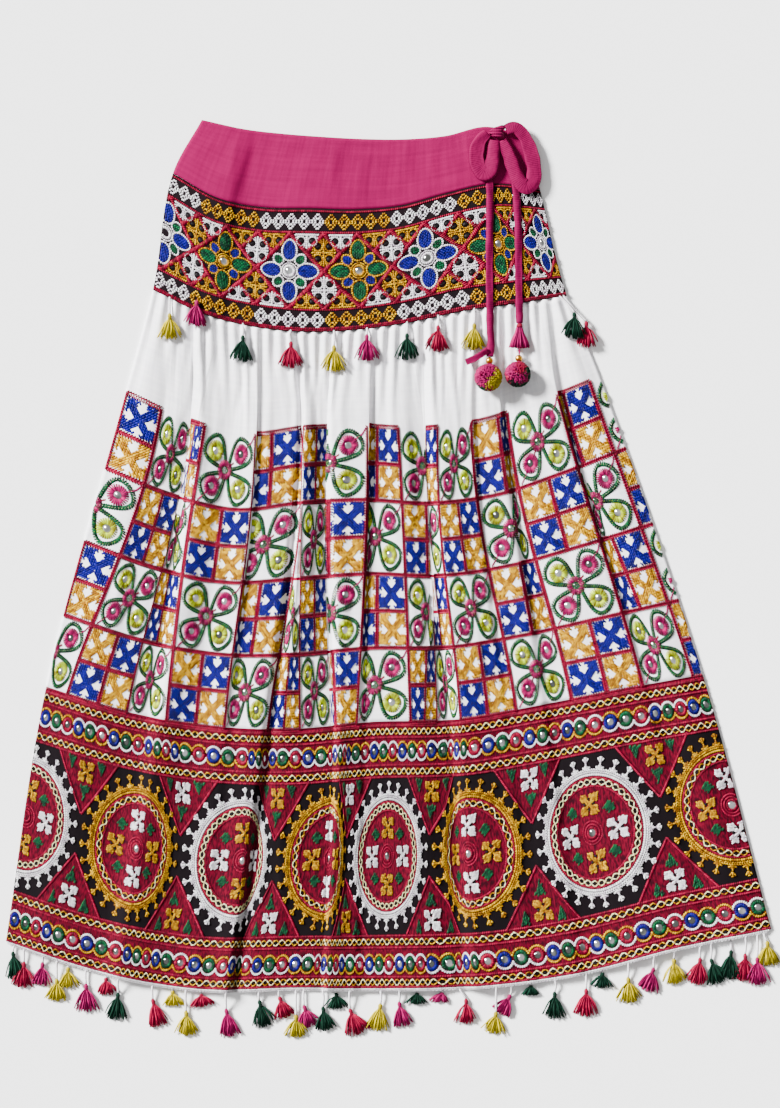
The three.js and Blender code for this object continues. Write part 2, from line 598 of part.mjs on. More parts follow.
const knotHeight = clothUnder(KNOT.x, KNOT.y - KNOT.fall, KNOT.halfWidth) + REST_GAP + KNOT.halfDepth;
const knotRadii = [KNOT.halfWidth, KNOT.halfHeight, KNOT.halfDepth];
const knotGeometry = () => ball(KNOT.x, KNOT.y, knotHeight, knotRadii, BALL_SIDES);

// Height at which a ball just rests on the cloth under it
const ACROSS_BALL = range(-0.9, 0.9, 18);
function restingHeight(x, y, radius, halfHeight) {
  let height = 0;
  for (const across of ACROSS_BALL) {
    for (const along of ACROSS_BALL.filter((share) => Math.hypot(across, share) < 1)) {
      const spotX = x + across * radius;
      const cloth = frontTop(spotX, levelAt(spotX, y + along * radius));
      height = Math.max(height, cloth + halfHeight * Math.sqrt(1 - across ** 2 - along ** 2));
    }
  }
  return height + REST_GAP;
}

// Each pompom rests on the cloth, with its bead against it on the side of the cord
const pompomCentre = ({ x, y, radius }) =>
  new THREE.Vector3(x, y, restingHeight(x, y, radius, radius * POMPOM_FLATNESS));

function pompom(pom) {
  const { x, y, z } = pompomCentre(pom);
  return ball(x, y, z, [pom.radius, pom.radius, pom.radius * POMPOM_FLATNESS], BALL_SIDES);
}

function beadCentre(pom, towards) {
  const centre = pompomCentre(pom);
  const way = new THREE.Vector3(towards.x - pom.x, towards.y - pom.y, 0).normalize();
  const narrowing = Math.sqrt(1 - (BEAD.drop / (pom.radius * POMPOM_FLATNESS)) ** 2);
  centre.addScaledVector(way, pom.radius * narrowing + BEAD.radius + BEAD.clearance);
  centre.z = Math.max(centre.z - BEAD.drop, restingHeight(centre.x, centre.y, BEAD.radius, BEAD.radius));
  return centre;
}

function bead(pom, towards) {
  const { x, y, z } = beadCentre(pom, towards);
  return ball(x, y, z, [BEAD.radius, BEAD.radius, BEAD.radius], BEAD.sides);
}

// Where a cord or thread meets its bead
function beadEnd(pom, towards) {
  const centre = beadCentre(pom, towards);
  const way = new THREE.Vector3(towards.x - centre.x, towards.y - centre.y, 0).normalize();
  return centre.addScaledVector(way, BEAD.radius + BEAD.cordGap);
}

// The bell-shaped yarn tassel on the right end of the drawstring
const bellCloth = clothUnder(BELL.x, (BELL.top + BELL.bottom) / 2, BELL.radius);
const bellHeight = bellCloth + 3 * REST_GAP + BELL.height / 2;

function bellTassel() {
  const length = BELL.top - BELL.bottom;
  const profile = BELL_PROFILE.map(({ drop, radius }) => new THREE.Vector2(radius, -drop * length));
  const closed = [new THREE.Vector2(0, 0), ...profile, new THREE.Vector2(0, -length)];
  const geometry = new THREE.LatheGeometry(closed.reverse(), BALL_SIDES);
  geometry.scale(1, 1, BELL.height / (2 * BELL.radius));
  geometry.translate(BELL.x, BELL.top, bellHeight);
  return geometry;
}

const lastOf = (points) => ({ x: points.at(-1)[0], y: points.at(-1)[1] });
const bellTop = new THREE.Vector3(BELL.x, BELL.top + 2 * SEAM_GAP, bellHeight);
const bellFoot = new THREE.Vector3(BELL.x, BELL.bottom - THREAD.gap, bellHeight);

// The thread that carries the right pompom below the bell
function threadRight() {
  const end = beadEnd(POMPOM_RIGHT, bellFoot);
  return lock([bellFoot, end], [THREAD.radius, THREAD.radius], THREAD.sides);
}

const cloth = (color, roughness = 0.85) => new THREE.MeshStandardMaterial({ color, roughness, metalness: 0 });

const group = new THREE.Group();
function piece(name, geometry, material) {
  const mesh = new THREE.Mesh(geometry, material);
  mesh.name = name;
  mesh.position.set(SHIFT.x, SHIFT.y, 0);
  group.add(mesh);
}

// Levels of the rows of points in the two gathered panels, closer where the gathers are deep
const SKIRT_ROWS = [SEAM, 235, 257, 289, 329, 390, 480, 580, BORDER];
const BORDER_ROWS = [BORDER, 756, 831, 906, HEM];

// Rows and columns of points in the other panels
const BACK = { columns: 20, waistbandRows: 2, yokeRows: 3, skirtRows: 7, borderRows: 3 };
const FRONT = {
  waistbandRows: 3, waistbandColumns: 28, yokeRows: 4, yokeColumns: 34,
  skirtPerGather: 4, borderPerGather: 2,
};

const magenta = cloth(COLOURS.magenta);
const ground = cloth(COLOURS.ground);
const cotton = cloth(COLOURS.cotton);
const borderRed = cloth(COLOURS.borderRed);
const lace = cloth(COLOURS.lace);
const pink = cloth(COLOURS.pink);
const gold = cloth(COLOURS.gold, 0.4);

piece('waistband_back', backPanel(WAIST, YOKE_TOP, BACK.waistbandRows, BACK.columns), magenta);
piece('yoke_back', backPanel(YOKE_TOP, SEAM, BACK.yokeRows, BACK.columns), ground);
piece('skirt_back', backPanel(SEAM, BORDER, BACK.skirtRows, BACK.columns), cotton);
piece('border_back', backPanel(BORDER, HEM, BACK.borderRows, BACK.columns), borderRed);
piece('waistband_front',
  upperFront(WAIST, YOKE_TOP, FRONT.waistbandRows, FRONT.waistbandColumns, CASING_THICKNESS), magenta);
piece('yoke_front', upperFront(YOKE_TOP, SEAM, FRONT.yokeRows, FRONT.yokeColumns, YOKE_THICKNESS), ground);
piece('skirt_front', gatheredFront(SEAM, BORDER, SKIRT_ROWS, FRONT.skirtPerGather, COTTON_THICKNESS), cotton);
piece('border_front',
  gatheredFront(BORDER, HEM, BORDER_ROWS, FRONT.borderPerGather, BORDER_THICKNESS), borderRed);
piece('yoke_piping', yokePiping(), cloth(COLOURS.crimson));
piece('hem_lace_front', hemLace('front'), lace);
piece('hem_lace_back', hemLace('back'), lace);
piece('drawstring_knot', knotGeometry(), magenta);
piece('drawstring_end_left', cordTube(END_LEFT, 0, beadEnd(POMPOM_LEFT, lastOf(END_LEFT))), magenta);
piece('drawstring_end_right', cordTube(END_RIGHT, 0, bellTop), magenta);
piece('drawstring_loop_left', cordTube(LOOP_LEFT, LOOP_RISE), magenta);
piece('drawstring_loop_right', cordTube(LOOP_RIGHT, LOOP_RISE), magenta);
piece('drawstring_thread_right', threadRight(), cotton);
piece('bell_tassel', bellTassel(), pink);
piece('pompom_left', pompom(POMPOM_LEFT), pink);
piece('pompom_right', pompom(POMPOM_RIGHT), pink);
piece('bead_left', bead(POMPOM_LEFT, lastOf(END_LEFT)), gold);
piece('bead_right', bead(POMPOM_RIGHT, bellFoot), gold);

export default group;
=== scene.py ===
# %% [markdown]
# # An embroidered lehenga skirt, laid flat
# The skirt is a tube of cloth, gathered under a stiff embroidered yoke and laid out on a table.
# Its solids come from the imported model. This script gives each panel a thin draped sheet, and then
# embroiders it. The embroidery is first stitched on flat cloth, as a worker does in a frame, and only
# then draped over the folds. That order keeps every stitch its real size and in its real place.

# %% Load the frame and note its size
import math

import bpy
import numpy as np
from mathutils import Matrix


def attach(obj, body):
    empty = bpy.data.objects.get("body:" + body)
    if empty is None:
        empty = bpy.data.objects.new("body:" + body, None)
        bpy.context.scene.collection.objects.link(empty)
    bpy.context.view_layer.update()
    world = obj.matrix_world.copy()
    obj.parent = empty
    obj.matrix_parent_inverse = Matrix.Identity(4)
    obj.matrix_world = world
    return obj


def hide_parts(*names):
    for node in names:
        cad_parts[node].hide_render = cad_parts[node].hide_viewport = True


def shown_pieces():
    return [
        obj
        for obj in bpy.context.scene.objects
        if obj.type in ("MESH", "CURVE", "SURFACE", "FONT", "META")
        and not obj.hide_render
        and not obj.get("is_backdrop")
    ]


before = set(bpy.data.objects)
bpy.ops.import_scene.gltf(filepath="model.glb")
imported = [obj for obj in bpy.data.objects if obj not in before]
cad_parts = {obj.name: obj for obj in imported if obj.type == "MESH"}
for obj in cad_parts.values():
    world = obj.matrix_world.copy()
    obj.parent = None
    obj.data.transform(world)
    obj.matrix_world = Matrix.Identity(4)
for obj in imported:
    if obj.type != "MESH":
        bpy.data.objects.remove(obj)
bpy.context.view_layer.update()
chance = np.random.default_rng(12)
MM = 0.001
print("solids in the frame:", len(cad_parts))

# %% [markdown]
# ## The camera, the table and the light
# The skirt lies on a white table and is seen from straight above. A long lens keeps its edges
# straight. The camera is as high as the lens asks for, so that the frame takes in 1285 mm of table
# from top to bottom. A wide soft lamp at the upper left gives the folds their gentle shadows.

# %% Camera, table and lamps
VIEW = {"x": -0.98, "y": 26.7, "height": 6500, "frame": 1285.3}
SENSOR = 36
TABLE_HALF_M = 40


def place_camera():
    lens = bpy.data.cameras.new("view_from_above")
    lens.sensor_fit = "VERTICAL"
    lens.sensor_height = SENSOR
    lens.lens = SENSOR * VIEW["height"] / VIEW["frame"]
    lens.clip_end = 50
    camera = bpy.data.objects.new("view_from_above", lens)
    camera.location = (VIEW["x"] * MM, VIEW["y"] * MM, VIEW["height"] * MM)
    bpy.context.collection.objects.link(camera)
    bpy.context.scene.camera = camera
    return camera


def add_sun(name, place, softness, strength):
    """A wide soft light from far away, which shines from a place towards the origin."""
    light = bpy.data.lights.new(name, "SUN")
    light.angle = math.radians(softness)
    light.energy = strength
    lamp = bpy.data.objects.new(name, light)
    lamp.location = place
    lamp.rotation_euler = (math.atan2(math.hypot(place[0], place[1]), place[2]), 0,
                           math.atan2(place[1], place[0]) + math.pi / 2)
    bpy.context.collection.objects.link(lamp)
    return lamp


def add_floor():
    mesh = bpy.data.meshes.new("floor")
    corners = [(TABLE_HALF_M * x, TABLE_HALF_M * y, 0) for x, y in ((-1, -1), (1, -1), (1, 1), (-1, 1))]
    mesh.from_pydata(corners, [], [(0, 1, 2, 3)])
    paint = bpy.data.materials.new("white_table")
    paint.use_nodes = True
    cloth = paint.node_tree.nodes["Principled BSDF"]
    cloth.inputs["Base Color"].default_value = (0.95, 0.95, 0.95, 1)
    cloth.inputs["Roughness"].default_value = 0.9
    mesh.materials.append(paint)
    floor = bpy.data.objects.new("floor", mesh)
    bpy.context.collection.objects.link(floor)
    floor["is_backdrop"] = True


def light_room(strength):
    world = bpy.data.worlds.new("pale_room")
    world.use_nodes = True
    background = world.node_tree.nodes["Background"]
    background.inputs["Color"].default_value = (1, 1, 1, 1)
    background.inputs["Strength"].default_value = strength
    bpy.context.scene.world = world


camera = place_camera()
add_floor()
light_room(strength=0.6)
add_sun("window_light", (-1.6, 1.0, 1.08), softness=15, strength=21)
print("lens in mm:", round(camera.data.lens, 1))

# %% [markdown]
# ## Node maths written as Python
# A material is a small sum worked out at every point of the cloth. Written as nodes and links it is
# hard to read, so one class wraps a socket and lets Python's own operators add the Math nodes. Every
# other node comes from a single method, which takes its kind, its settings and its inputs.


# %% A class for node maths
class Value:
    """A socket that can be added, multiplied and compared like a number."""

    def __init__(self, tree, socket):
        self.tree = tree
        self.socket = socket

    def math(self, operation, *others):
        node = self.tree.node("ShaderNodeMath", {"operation": operation}, {})
        for slot, value in zip(node.inputs, (self, *others)):
            self.tree.feed(slot, value)
        return Value(self.tree, node.outputs[0])

    def __add__(self, other):
        return self.math("ADD", other)

    def __sub__(self, other):
        return self.math("SUBTRACT", other)

    def __mul__(self, other):
        return self.math("MULTIPLY", other)

    def __truediv__(self, other):
        return self.math("DIVIDE", other)

    def __rsub__(self, other):
        return self.math("MULTIPLY", -1) + other

    __radd__ = __add__
    __rmul__ = __mul__

    def above(self, edge, soft=0.3):
        """1 where the value is above an edge and 0 below it, with a soft step between."""
        return ((self - edge) / soft + 0.5).clamp()

    def below(self, edge, soft=0.3):
        return 1 - self.above(edge, soft)

    def clamp(self):
        return self.math("MAXIMUM", 0).math("MINIMUM", 1)

    def either(self, other):
        return self.math("MAXIMUM", other)

    def distance(self, other):
        """How far a place is from the origin, for the two values that say where it is."""
        return (self * self + other * other).math("SQRT")

    def repeat(self, size):
        """How far the value is from the nearest whole multiple of a size."""
        return (self / size + 0.5).math("FRACT").math("SUBTRACT", 0.5).math("ABSOLUTE") * size


# %% A class for one finish
class Finish:
    """A material under construction."""

    def __init__(self, name):
        self.material = bpy.data.materials.new(name)
        self.material.use_nodes = True
        self.nodes = self.material.node_tree.nodes
        self.links = self.material.node_tree.links
        self.cloth = self.nodes["Principled BSDF"]

    def node(self, kind, settings, inputs):
        node = self.nodes.new(kind)
        for key, value in settings.items():
            setattr(node, key, value)
        for key, value in inputs.items():
            self.feed(node.inputs[key], value)
        return node

    def feed(self, slot, value):
        if isinstance(value, Value):
            self.links.new(value.socket, slot)
        elif isinstance(value, bpy.types.NodeSocket):
            self.links.new(value, slot)
        else:
            slot.default_value = value

    def value(self, socket):
        return Value(self, socket)

    def place(self):
        """Object coordinates, in metres."""
        return self.node("ShaderNodeTexCoord", {}, {}).outputs["Object"]

    def on_cloth(self, layer="flat_cloth"):
        """The place on the cloth from the piece's own UV map, in metres."""
        return self.node("ShaderNodeUVMap", {"uv_map": layer}, {}).outputs[0]

    def flat(self):
        """Two values: where the point is on the flat cloth, in millimetres."""
        uv = self.on_cloth()
        parts = self.node("ShaderNodeSeparateXYZ", {}, {0: uv})
        return self.value(parts.outputs[0]) * 1000, self.value(parts.outputs[1]) * 1000

    def noise(self, where, scale, detail=3.0, stretch=None):
        if stretch:
            turn = self.node("ShaderNodeMapping", {}, {"Vector": where, "Scale": stretch})
            where = turn.outputs[0]
        made = self.node("ShaderNodeTexNoise", {}, {"Vector": where, "Scale": scale, "Detail": detail})
        return self.value(made.outputs["Fac"])

    def mix(self, share, first, second):
        """One colour laid over another where share is 1."""
        made = self.node("ShaderNodeMix", {"data_type": "RGBA"}, {})
        self.feed(made.inputs[0], share)
        self.feed(made.inputs[6], first)
        self.feed(made.inputs[7], second)
        return made.outputs[2]

    def bump(self, height, distance, strength=1.0, below=None):
        made = self.node("ShaderNodeBump", {}, {"Strength": strength, "Distance": distance, "Height": height})
        if below is not None:
            self.feed(made.inputs["Normal"], below)
        return made.outputs[0]

    def finish(self, colour, roughness, normal=None, **fixed):
        self.feed(self.cloth.inputs["Base Color"], colour)
        self.feed(self.cloth.inputs["Roughness"], roughness)
        if normal is not None:
            self.feed(self.cloth.inputs["Normal"], normal)
        fixed.setdefault("Specular_IOR_Level", 0.06)
        for key, value in fixed.items():
            self.cloth.inputs[key.replace("_", " ")].default_value = value
        return self.material


def dye(red, green, blue):
    """A dye from its sRGB channels, as light that the nodes can mix."""
    channels = [v / 255 for v in (red, green, blue)]
    light = [v / 12.92 if v <= 0.04045 else ((v + 0.055) / 1.055) ** 2.4 for v in channels]
    return (*light, 1.0)


# Blender's film curve lightens and greys strong colours in bright light, so each dye is set deeper.
DYES = {
    "white": dye(240, 238, 239), "cream": dye(240, 232, 165), "gold": dye(186, 136, 2),
    # the deeper gold is no thread of its own: it is painted shade under the gold stitches
    "gold_painted_shade": dye(158, 94, 2), "yellow": dye(182, 164, 3), "crimson": dye(128, 1, 42),
    "red": dye(132, 1, 42), "magenta": dye(124, 1, 64), "pink": dye(152, 1, 82),
    "rose": dye(148, 1, 50), "blue": dye(14, 4, 108), "green": dye(2, 67, 38), "lime": dye(166, 180, 4),
    "dark green": dye(3, 44, 29), "black": dye(11, 6, 9), "border red": dye(74, 1, 20),
}
print("dyes:", ", ".join(DYES))

# %% [markdown]
# ## The drape
# Every solid of the skirt was worked out from a few tables: the outline at six levels down the cloth,
# and the fold lines with their heights. The same tables stand here, so that the sheets and the
# stitches meet the solids exactly. A level is the distance down the cloth from the waist edge in
# millimetres. The last table places the embroidery: it says where each column of the flat cloth
# comes to lie, because a fold swallows some of the cloth and shows the rest.

# %% Levels, outline and folds
WAIST, YOKE_TOP, SEAM, BLOCKS, BORDER, HEM = 0, 79, 221, 333, 681, 981
SEAM_GAP = 0.3
LOWEST, SIDE_ROLL, SIDE_START = 2.85, 11, 0.25
GATHERS, GATHER_DEPTH, GATHER_LIFT = 36, 2.3, 5.6
# a gather runs out this far below the seam: the least, and how much more the longest has
GATHER_REACH, GATHER_SPREAD = 62, 88
CREASE_DEPTH = 1.9
SHIFT = np.array([-2.6, 0.0, 0.0])

# level, left edge, right edge, then the height of the cloth's line on the table at nine stations
OUTLINE = np.array([
    (WAIST, -216.5, 160.5, 530.1, 519.6, 513.9, 510.2, 507.8, 507.5, 511.4, 522, 510.4),
    (YOKE_TOP, -250.1, 175.6, 468.1, 438.7, 428.5, 427.3, 426.1, 430.8, 445.1, 455.9, 448.9),
    (SEAM, -273.3, 206.7, 332.9, 304.4, 289.4, 284, 286.8, 295.3, 308.2, 316.7, 326),
    (BLOCKS, -304.6, 245.2, 214.6, 183.2, 165.7, 173.2, 175.4, 172.7, 181.7, 204.5, 232),
    (BORDER, -397.4, 364.7, -128.8, -158.2, -174.2, -177.7, -169.5, -166.6, -150.5, -131.8, -114.8),
    (HEM, -443.8, 443.6, -422.2, -457.8, -477.4, -476.3, -476.9, -473.7, -458.9, -430.4, -408.3),
])
# gather, X at the blocks, the border and the hem, then the lift at the same three
FOLDS = np.array([
    (0, -304.6, -397.4, -443.8, 3, 3, 3), (1, -281.4, -353.3, -402.1, 8, 8, 8),
    (3.5, -230.4, -281.4, -337.1, 4, 3.5, 3.5), (4, -217.6, -261.7, -313.9, 12, 13, 11),
    (6.5, -181.7, -223.4, -255.9, 6, 7, 6), (9, -153.8, -190.9, -225.7, 11, 9, 7),
    (9.5, -149.2, -180.5, -214.1, 6, 7, 6), (12, -107.4, -146.9, -188.6, 8, 12, 12),
    (12.5, -101.6, -138.4, -179, 3.5, 3, 3), (13, -96.4, -122.5, -160.8, 12, 9, 8),
    (15.5, -72, -64.5, -79.6, 3.5, 3, 3), (16, -66.8, -56.2, -70, 12, 12, 11),
    (19, -23.3, -35.5, -42.5, 11, 9, 8), (19.5, -18.1, -26.2, -30.9, 5, 6, 5),
    (22, 17.9, 30.6, 42.2, 8, 8, 9), (23.5, 42.2, 68.9, 85.1, 3, 3, 3),
    (24, 52, 84.5, 102, 13, 13, 12), (28, 95, 129.2, 164, 11, 9, 8),
    (28.5, 101.4, 138.5, 175.6, 7, 7, 6), (30, 129.2, 175.6, 216.2, 10, 9, 8),
    (30.5, 135, 187.2, 231.3, 4, 5, 5), (32, 158.2, 239.4, 291.6, 8, 10, 9),
    (34, 194.8, 291.6, 361.2, 12, 9, 8), (34.5, 200, 303.2, 375.1, 5, 6, 6),
    (35, 222, 333.4, 407.6, 8, 8, 8), (36, 245.2, 364.7, 443.6, 3, 3, 3),
])
# share of the width, then the height of the two upper panels at the waist, yoke top and seam
SWELLS = np.array([
    (0, 3.4, 3.2, 3.4), (0.07, 5.6, 6, 6.2), (0.155, 5, 8, 7.4), (0.178, 4.6, 4.6, 5.4),
    (0.34, 6.2, 6.4, 6.6), (0.56, 4.6, 5.4, 5.8), (0.76, 6.4, 7.4, 6.6), (0.93, 5.4, 5.8, 6.2),
    (1, 3.4, 3.2, 3.4),
])
print("levels:", WAIST, YOKE_TOP, SEAM, BLOCKS, BORDER, HEM, "fold lines:", len(FOLDS))


# %% Read a table as a smooth curve
def smooth_read(places, values, at):
    """A smooth curve through the rows of a table, read at many places at once."""
    places = np.asarray(places, float)
    values = np.asarray(values, float)
    at = np.clip(np.asarray(at, float), places[0], places[-1])
    if values.ndim == 1:
        values = np.repeat(values[:, None], at.size, axis=1)
    row = np.clip(np.searchsorted(places, at, "left") - 1, 0, len(places) - 2)
    span = np.diff(places)
    chord = np.diff(values, axis=0) / span[:, None]
    slope = np.vstack([chord[:1], (chord[:-1] + chord[1:]) / 2, chord[-1:]])
    column = np.arange(at.size)
    t = (at - places[row]) / span[row]
    start = values[row, column]
    rise = values[row + 1, column] - start
    a = slope[row, column] * span[row]
    b = slope[row + 1, column] * span[row]
    return start + t * (a + t * (3 * rise - 2 * a - b + t * (a + b - 2 * rise)))


def ease(t):
    t = np.clip(t, 0, 1)
    return t * t * (3 - 2 * t)


def edges(level):
    """Left and right edge of the cloth at each level."""
    level = np.clip(level, WAIST, HEM)
    return [smooth_read(OUTLINE[:, 0], OUTLINE[:, side], level) for side in (1, 2)]


def height_on_table(x, level):
    """Where a place on the cloth lies up or down the table."""
    on_cloth = np.clip(level, WAIST, HEM)
    left, right = edges(on_cloth)
    share = np.clip((x - left) / (right - left), 0, 1)
    stations = np.linspace(0, 1, 9)
    rows = np.array([smooth_read(stations, row[3:], share) for row in OUTLINE])
    return smooth_read(OUTLINE[:, 0], rows, on_cloth) - (level - on_cloth)


print("edges of the hem:", [float(x[0].round(1)) for x in edges(np.array([HEM]))])

# %% [markdown]
# Between the fold lines the cloth runs smoothly from valley to crest. Under the yoke each gather adds
# a ripple that runs out further down, sooner in one gather and later in the next. Small creases are
# added from a table, because pressed and handled cotton is never quite smooth.

# %% Heights of the cloth, with its small creases
# middle of the crease: X at its top and foot. Then its top and foot level, half width and height.
CREASES = np.array([
    (-232, -268, 262, 452, 7, 0.9), (-196, -214, 240, 400, 5, -0.9), (-172, -206, 330, 560, 6, 0.8),
    (-128, -150, 236, 420, 5, 1.0), (-88, -86, 232, 372, 4, -1.0), (-52, -58, 240, 430, 5, 0.9),
    (-40, -48, 420, 640, 6, -0.9), (4, 6, 232, 390, 5, 1.0), (28, 34, 300, 470, 5, -0.8),
    (64, 82, 236, 350, 4, 1.1), (78, 112, 420, 650, 6, 0.9), (112, 150, 240, 470, 5, -0.9),
    (148, 196, 260, 420, 5, 0.9), (176, 232, 380, 600, 7, -0.9), (206, 270, 440, 640, 6, 0.8),
    (-104, -112, 226, 345, 3.5, -0.9), (-18, -22, 226, 330, 3.5, -0.8), (48, 58, 228, 345, 3.5, 0.9),
    (-214, -244, 226, 345, 4, 0.8), (-160, -178, 226, 330, 3.5, -0.9), (94, 114, 228, 350, 4, 0.8),
    (132, 160, 228, 340, 3.5, -0.9), (-246, -276, 250, 400, 4.5, -0.8), (-70, -72, 228, 320, 3, 0.8),
    (-300, -330, 470, 640, 7, 0.8), (-286, -318, 700, 900, 8, 0.7), (-118, -132, 700, 960, 7, 0.8),
    (18, 22, 720, 930, 8, -0.7), (140, 160, 700, 900, 7, 0.7), (262, 300, 720, 950, 8, 0.8),
    (-156, -168, 2, 70, 5, -1.1), (-172, -188, 4, 78, 5, 1.0), (-60, -66, 6, 60, 6, 0.9),
    (-16, -24, 14, 78, 5, -0.9), (24, 22, 2, 52, 6, 0.8), (56, 62, 10, 76, 6, -0.9),
    (92, 98, 4, 64, 5, 0.9), (128, 136, 8, 78, 6, -0.8), (-120, -124, 86, 200, 9, 0.6),
    (66, 74, 90, 210, 10, -0.5), (152, 168, 84, 214, 8, 0.6),
])


def creases(x, level):
    lift = np.zeros_like(x)
    for top_x, foot_x, top, foot, width, height in CREASES:
        t = np.clip((level - top) / (foot - top), 0, 1)
        middle = top_x + (foot_x - top_x) * t + 2 * np.sin(level / 23 + top_x)
        fading = np.sin(np.pi * t)
        lift += height * fading * np.exp(-(((x - middle) / width) ** 2))
    return lift


def fold_lines(level):
    """X and lift of every fold line, one row for each line and one column for each level."""
    left, right = edges(np.full_like(level, SEAM))
    pitch = (right - left) / GATHERS
    stops = [SEAM, BLOCKS, BORDER, HEM]
    xs = []
    lifts = []
    for gather, blocks, border, hem, lift_blocks, lift_border, lift_hem in FOLDS:
        rows = np.array([left + pitch * gather, *([v] * level.size for v in (blocks, border, hem))])
        xs.append(smooth_read(stops, rows, level))
        lifts.append(smooth_read(stops, [GATHER_LIFT, lift_blocks, lift_border, lift_hem], level))
    xs[0], xs[-1] = edges(level)
    return np.array(xs), np.array(lifts)


def skirt_top(x, level):
    level = np.clip(level, SEAM, HEM)
    xs, lifts = fold_lines(level)
    line = np.clip((xs[1:-1] < x).sum(axis=0), 0, len(FOLDS) - 2)
    column = np.arange(x.size)
    start, end = xs[line, column], xs[line + 1, column]
    t = np.clip((x - start) / (end - start), 0, 1)
    fold = lifts[line, column] + (lifts[line + 1, column] - lifts[line, column]) * ease(t)
    gather = FOLDS[line, 0] + (FOLDS[line + 1, 0] - FOLDS[line, 0]) * t
    whole = np.round(gather)
    odd = 0.5 + 0.5 * np.sin(whole * 2.4 + 1.3) * np.cos(whole * 0.83)
    fading = 1 - ease((level - SEAM) / (GATHER_REACH + GATHER_SPREAD * odd))
    ripple = GATHER_DEPTH * (0.75 + 0.4 * odd) * fading * np.cos(2 * np.pi * gather)
    left, right = edges(level)
    edge = np.minimum(x - left, right - x)
    free = np.maximum(LOWEST, fold + ripple + CREASE_DEPTH * creases(x, level))
    return LOWEST + (free - LOWEST) * ease(edge / SIDE_ROLL + SIDE_START)


def upper_top(x, level):
    left, right = edges(level)
    share = np.clip((x - left) / (right - left), 0, 1)
    rows = np.array([smooth_read(SWELLS[:, 0], SWELLS[:, c], share) for c in (1, 2, 3)])
    inside = ease(np.minimum(share, 1 - share) / 0.04)
    return smooth_read([WAIST, YOKE_TOP, SEAM], rows, level) + creases(x, level) * inside


print("creases:", len(CREASES))

# %% [markdown]
# ## Where the flat cloth comes to lie
# A worker marks the flat cloth in columns. Each table below gives the X of some columns at a level.
# Where neighbouring columns are close together on the table, the cloth between them is in a fold.
# A Panel reads these tables once on a fine grid, and then any stitch can be draped by looking it up.

# %% Tables of columns, and the panels
CELL = 87.5
LATTICE = 80
BAND_WIDTH = 377
# a level in the middle of the border, where its columns were read once more
MEDALLIONS = 831
BODY_COLUMNS = {
    SEAM: [(0.5, -273.3), (15.2, 206.7)],
    BLOCKS: [
        (0.5, -304.6), (1, -262.9), (1.9, -230.4), (2.9, -218.8), (4, -153.8), (4.25, -151.5), (4.5, -135.3),
        (5, -100.5), (6, -98.7), (6.5, -83.1), (6.95, -71.5), (7.45, -68.6), (8, -23.9), (8.35, -20.4),
        (9, 10.9), (9.55, 39.9), (10.5, 42.8), (11, 56.7), (12, 95.0), (12.55, 129.2), (12.95, 134.4),
        (14, 195.3), (14.45, 198.8), (15.2, 245.2)],
    BORDER: [
        (0.5, -397.4), (1, -373.1), (1.9, -308.1), (2.9, -264.0), (4, -189.8), (4.25, -182.8), (5, -139.9),
        (6, -102.8), (6.5, -84.2), (6.95, -68.0), (7.45, -63.3), (8, -36.7), (8.35, -26.2), (9, 26.0),
        (9.55, 43.4), (10.5, 70.1), (11, 82.8), (12, 147.8), (12.55, 182.6), (12.95, 208.1), (14, 295.1),
        (14.45, 321.8), (15.2, 364.7)],
}
BORDER_CELLS = (0.5, 1.5, 2.55, 3.55, 4.55, 4.9, 5.15, 5.55, 6.45, 7.0, 7.55, 8.55, 9.55, 9.8, 10.3, 10.55,
                11.55, 12.55, 13.55, 14.65)
BORDER_COLUMNS = {
    BORDER: (-397.4, -342.9, -280.3, -237.3, -164.3, -150.3, -143.4, -127.1, -70.3, -55.2, -43.6, 2.8, 51.5,
             66.6, 81.7, 90.9, 159.4, 222.0, 298.6, 364.7),
    MEDALLIONS: (
        -427.6, -366.1, -293.6, -243.7, -167.7, -156.1, -149.2, -131.8, -68.0, -56.4, -45.9, 2.8, 52.7,
        72.4, 87.5, 97.9, 176.8, 245.2, 329.9, 419.2),
    HEM: (-443.8, -390.5, -312.7, -265.2, -193.3, -180.5, -172.4, -146.9, -90.0, -70.3, -52.9, -3.0, 51.5,
          77.0, 96.7, 108.3, 194.2, 268.4, 349.6, 443.6),
}
BORDER_COLUMNS = {level: list(zip(BORDER_CELLS, row)) for level, row in BORDER_COLUMNS.items()}
YOKE_SHARES = [
    (-0.06, 0), (0, 0.011), (1, 0.159), (2, 0.326), (3, 0.505), (4, 0.679), (5, 0.863), (6, 0.974), (6.3, 1),
]

print("columns that were read above the squares:", len(BODY_COLUMNS[BLOCKS]))


# %% A panel that drapes flat cloth
def column_share(tables, column, level):
    """The share of the width at which a column lies."""
    rows = []
    for table in tables.values():
        columns, xs = np.array(table).T
        shares = (xs - xs[0]) / (xs[-1] - xs[0])
        rows.append(np.interp(column, columns, shares))
    return smooth_read(list(tables), np.array(rows), level)


def body_share(s, level):
    return column_share(BODY_COLUMNS, s / CELL, level)


def border_share(s, level):
    return column_share(BORDER_COLUMNS, s / CELL, level)


def yoke_share(s, level):
    columns, shares = np.array(YOKE_SHARES).T
    return np.interp(s / LATTICE, columns, shares)


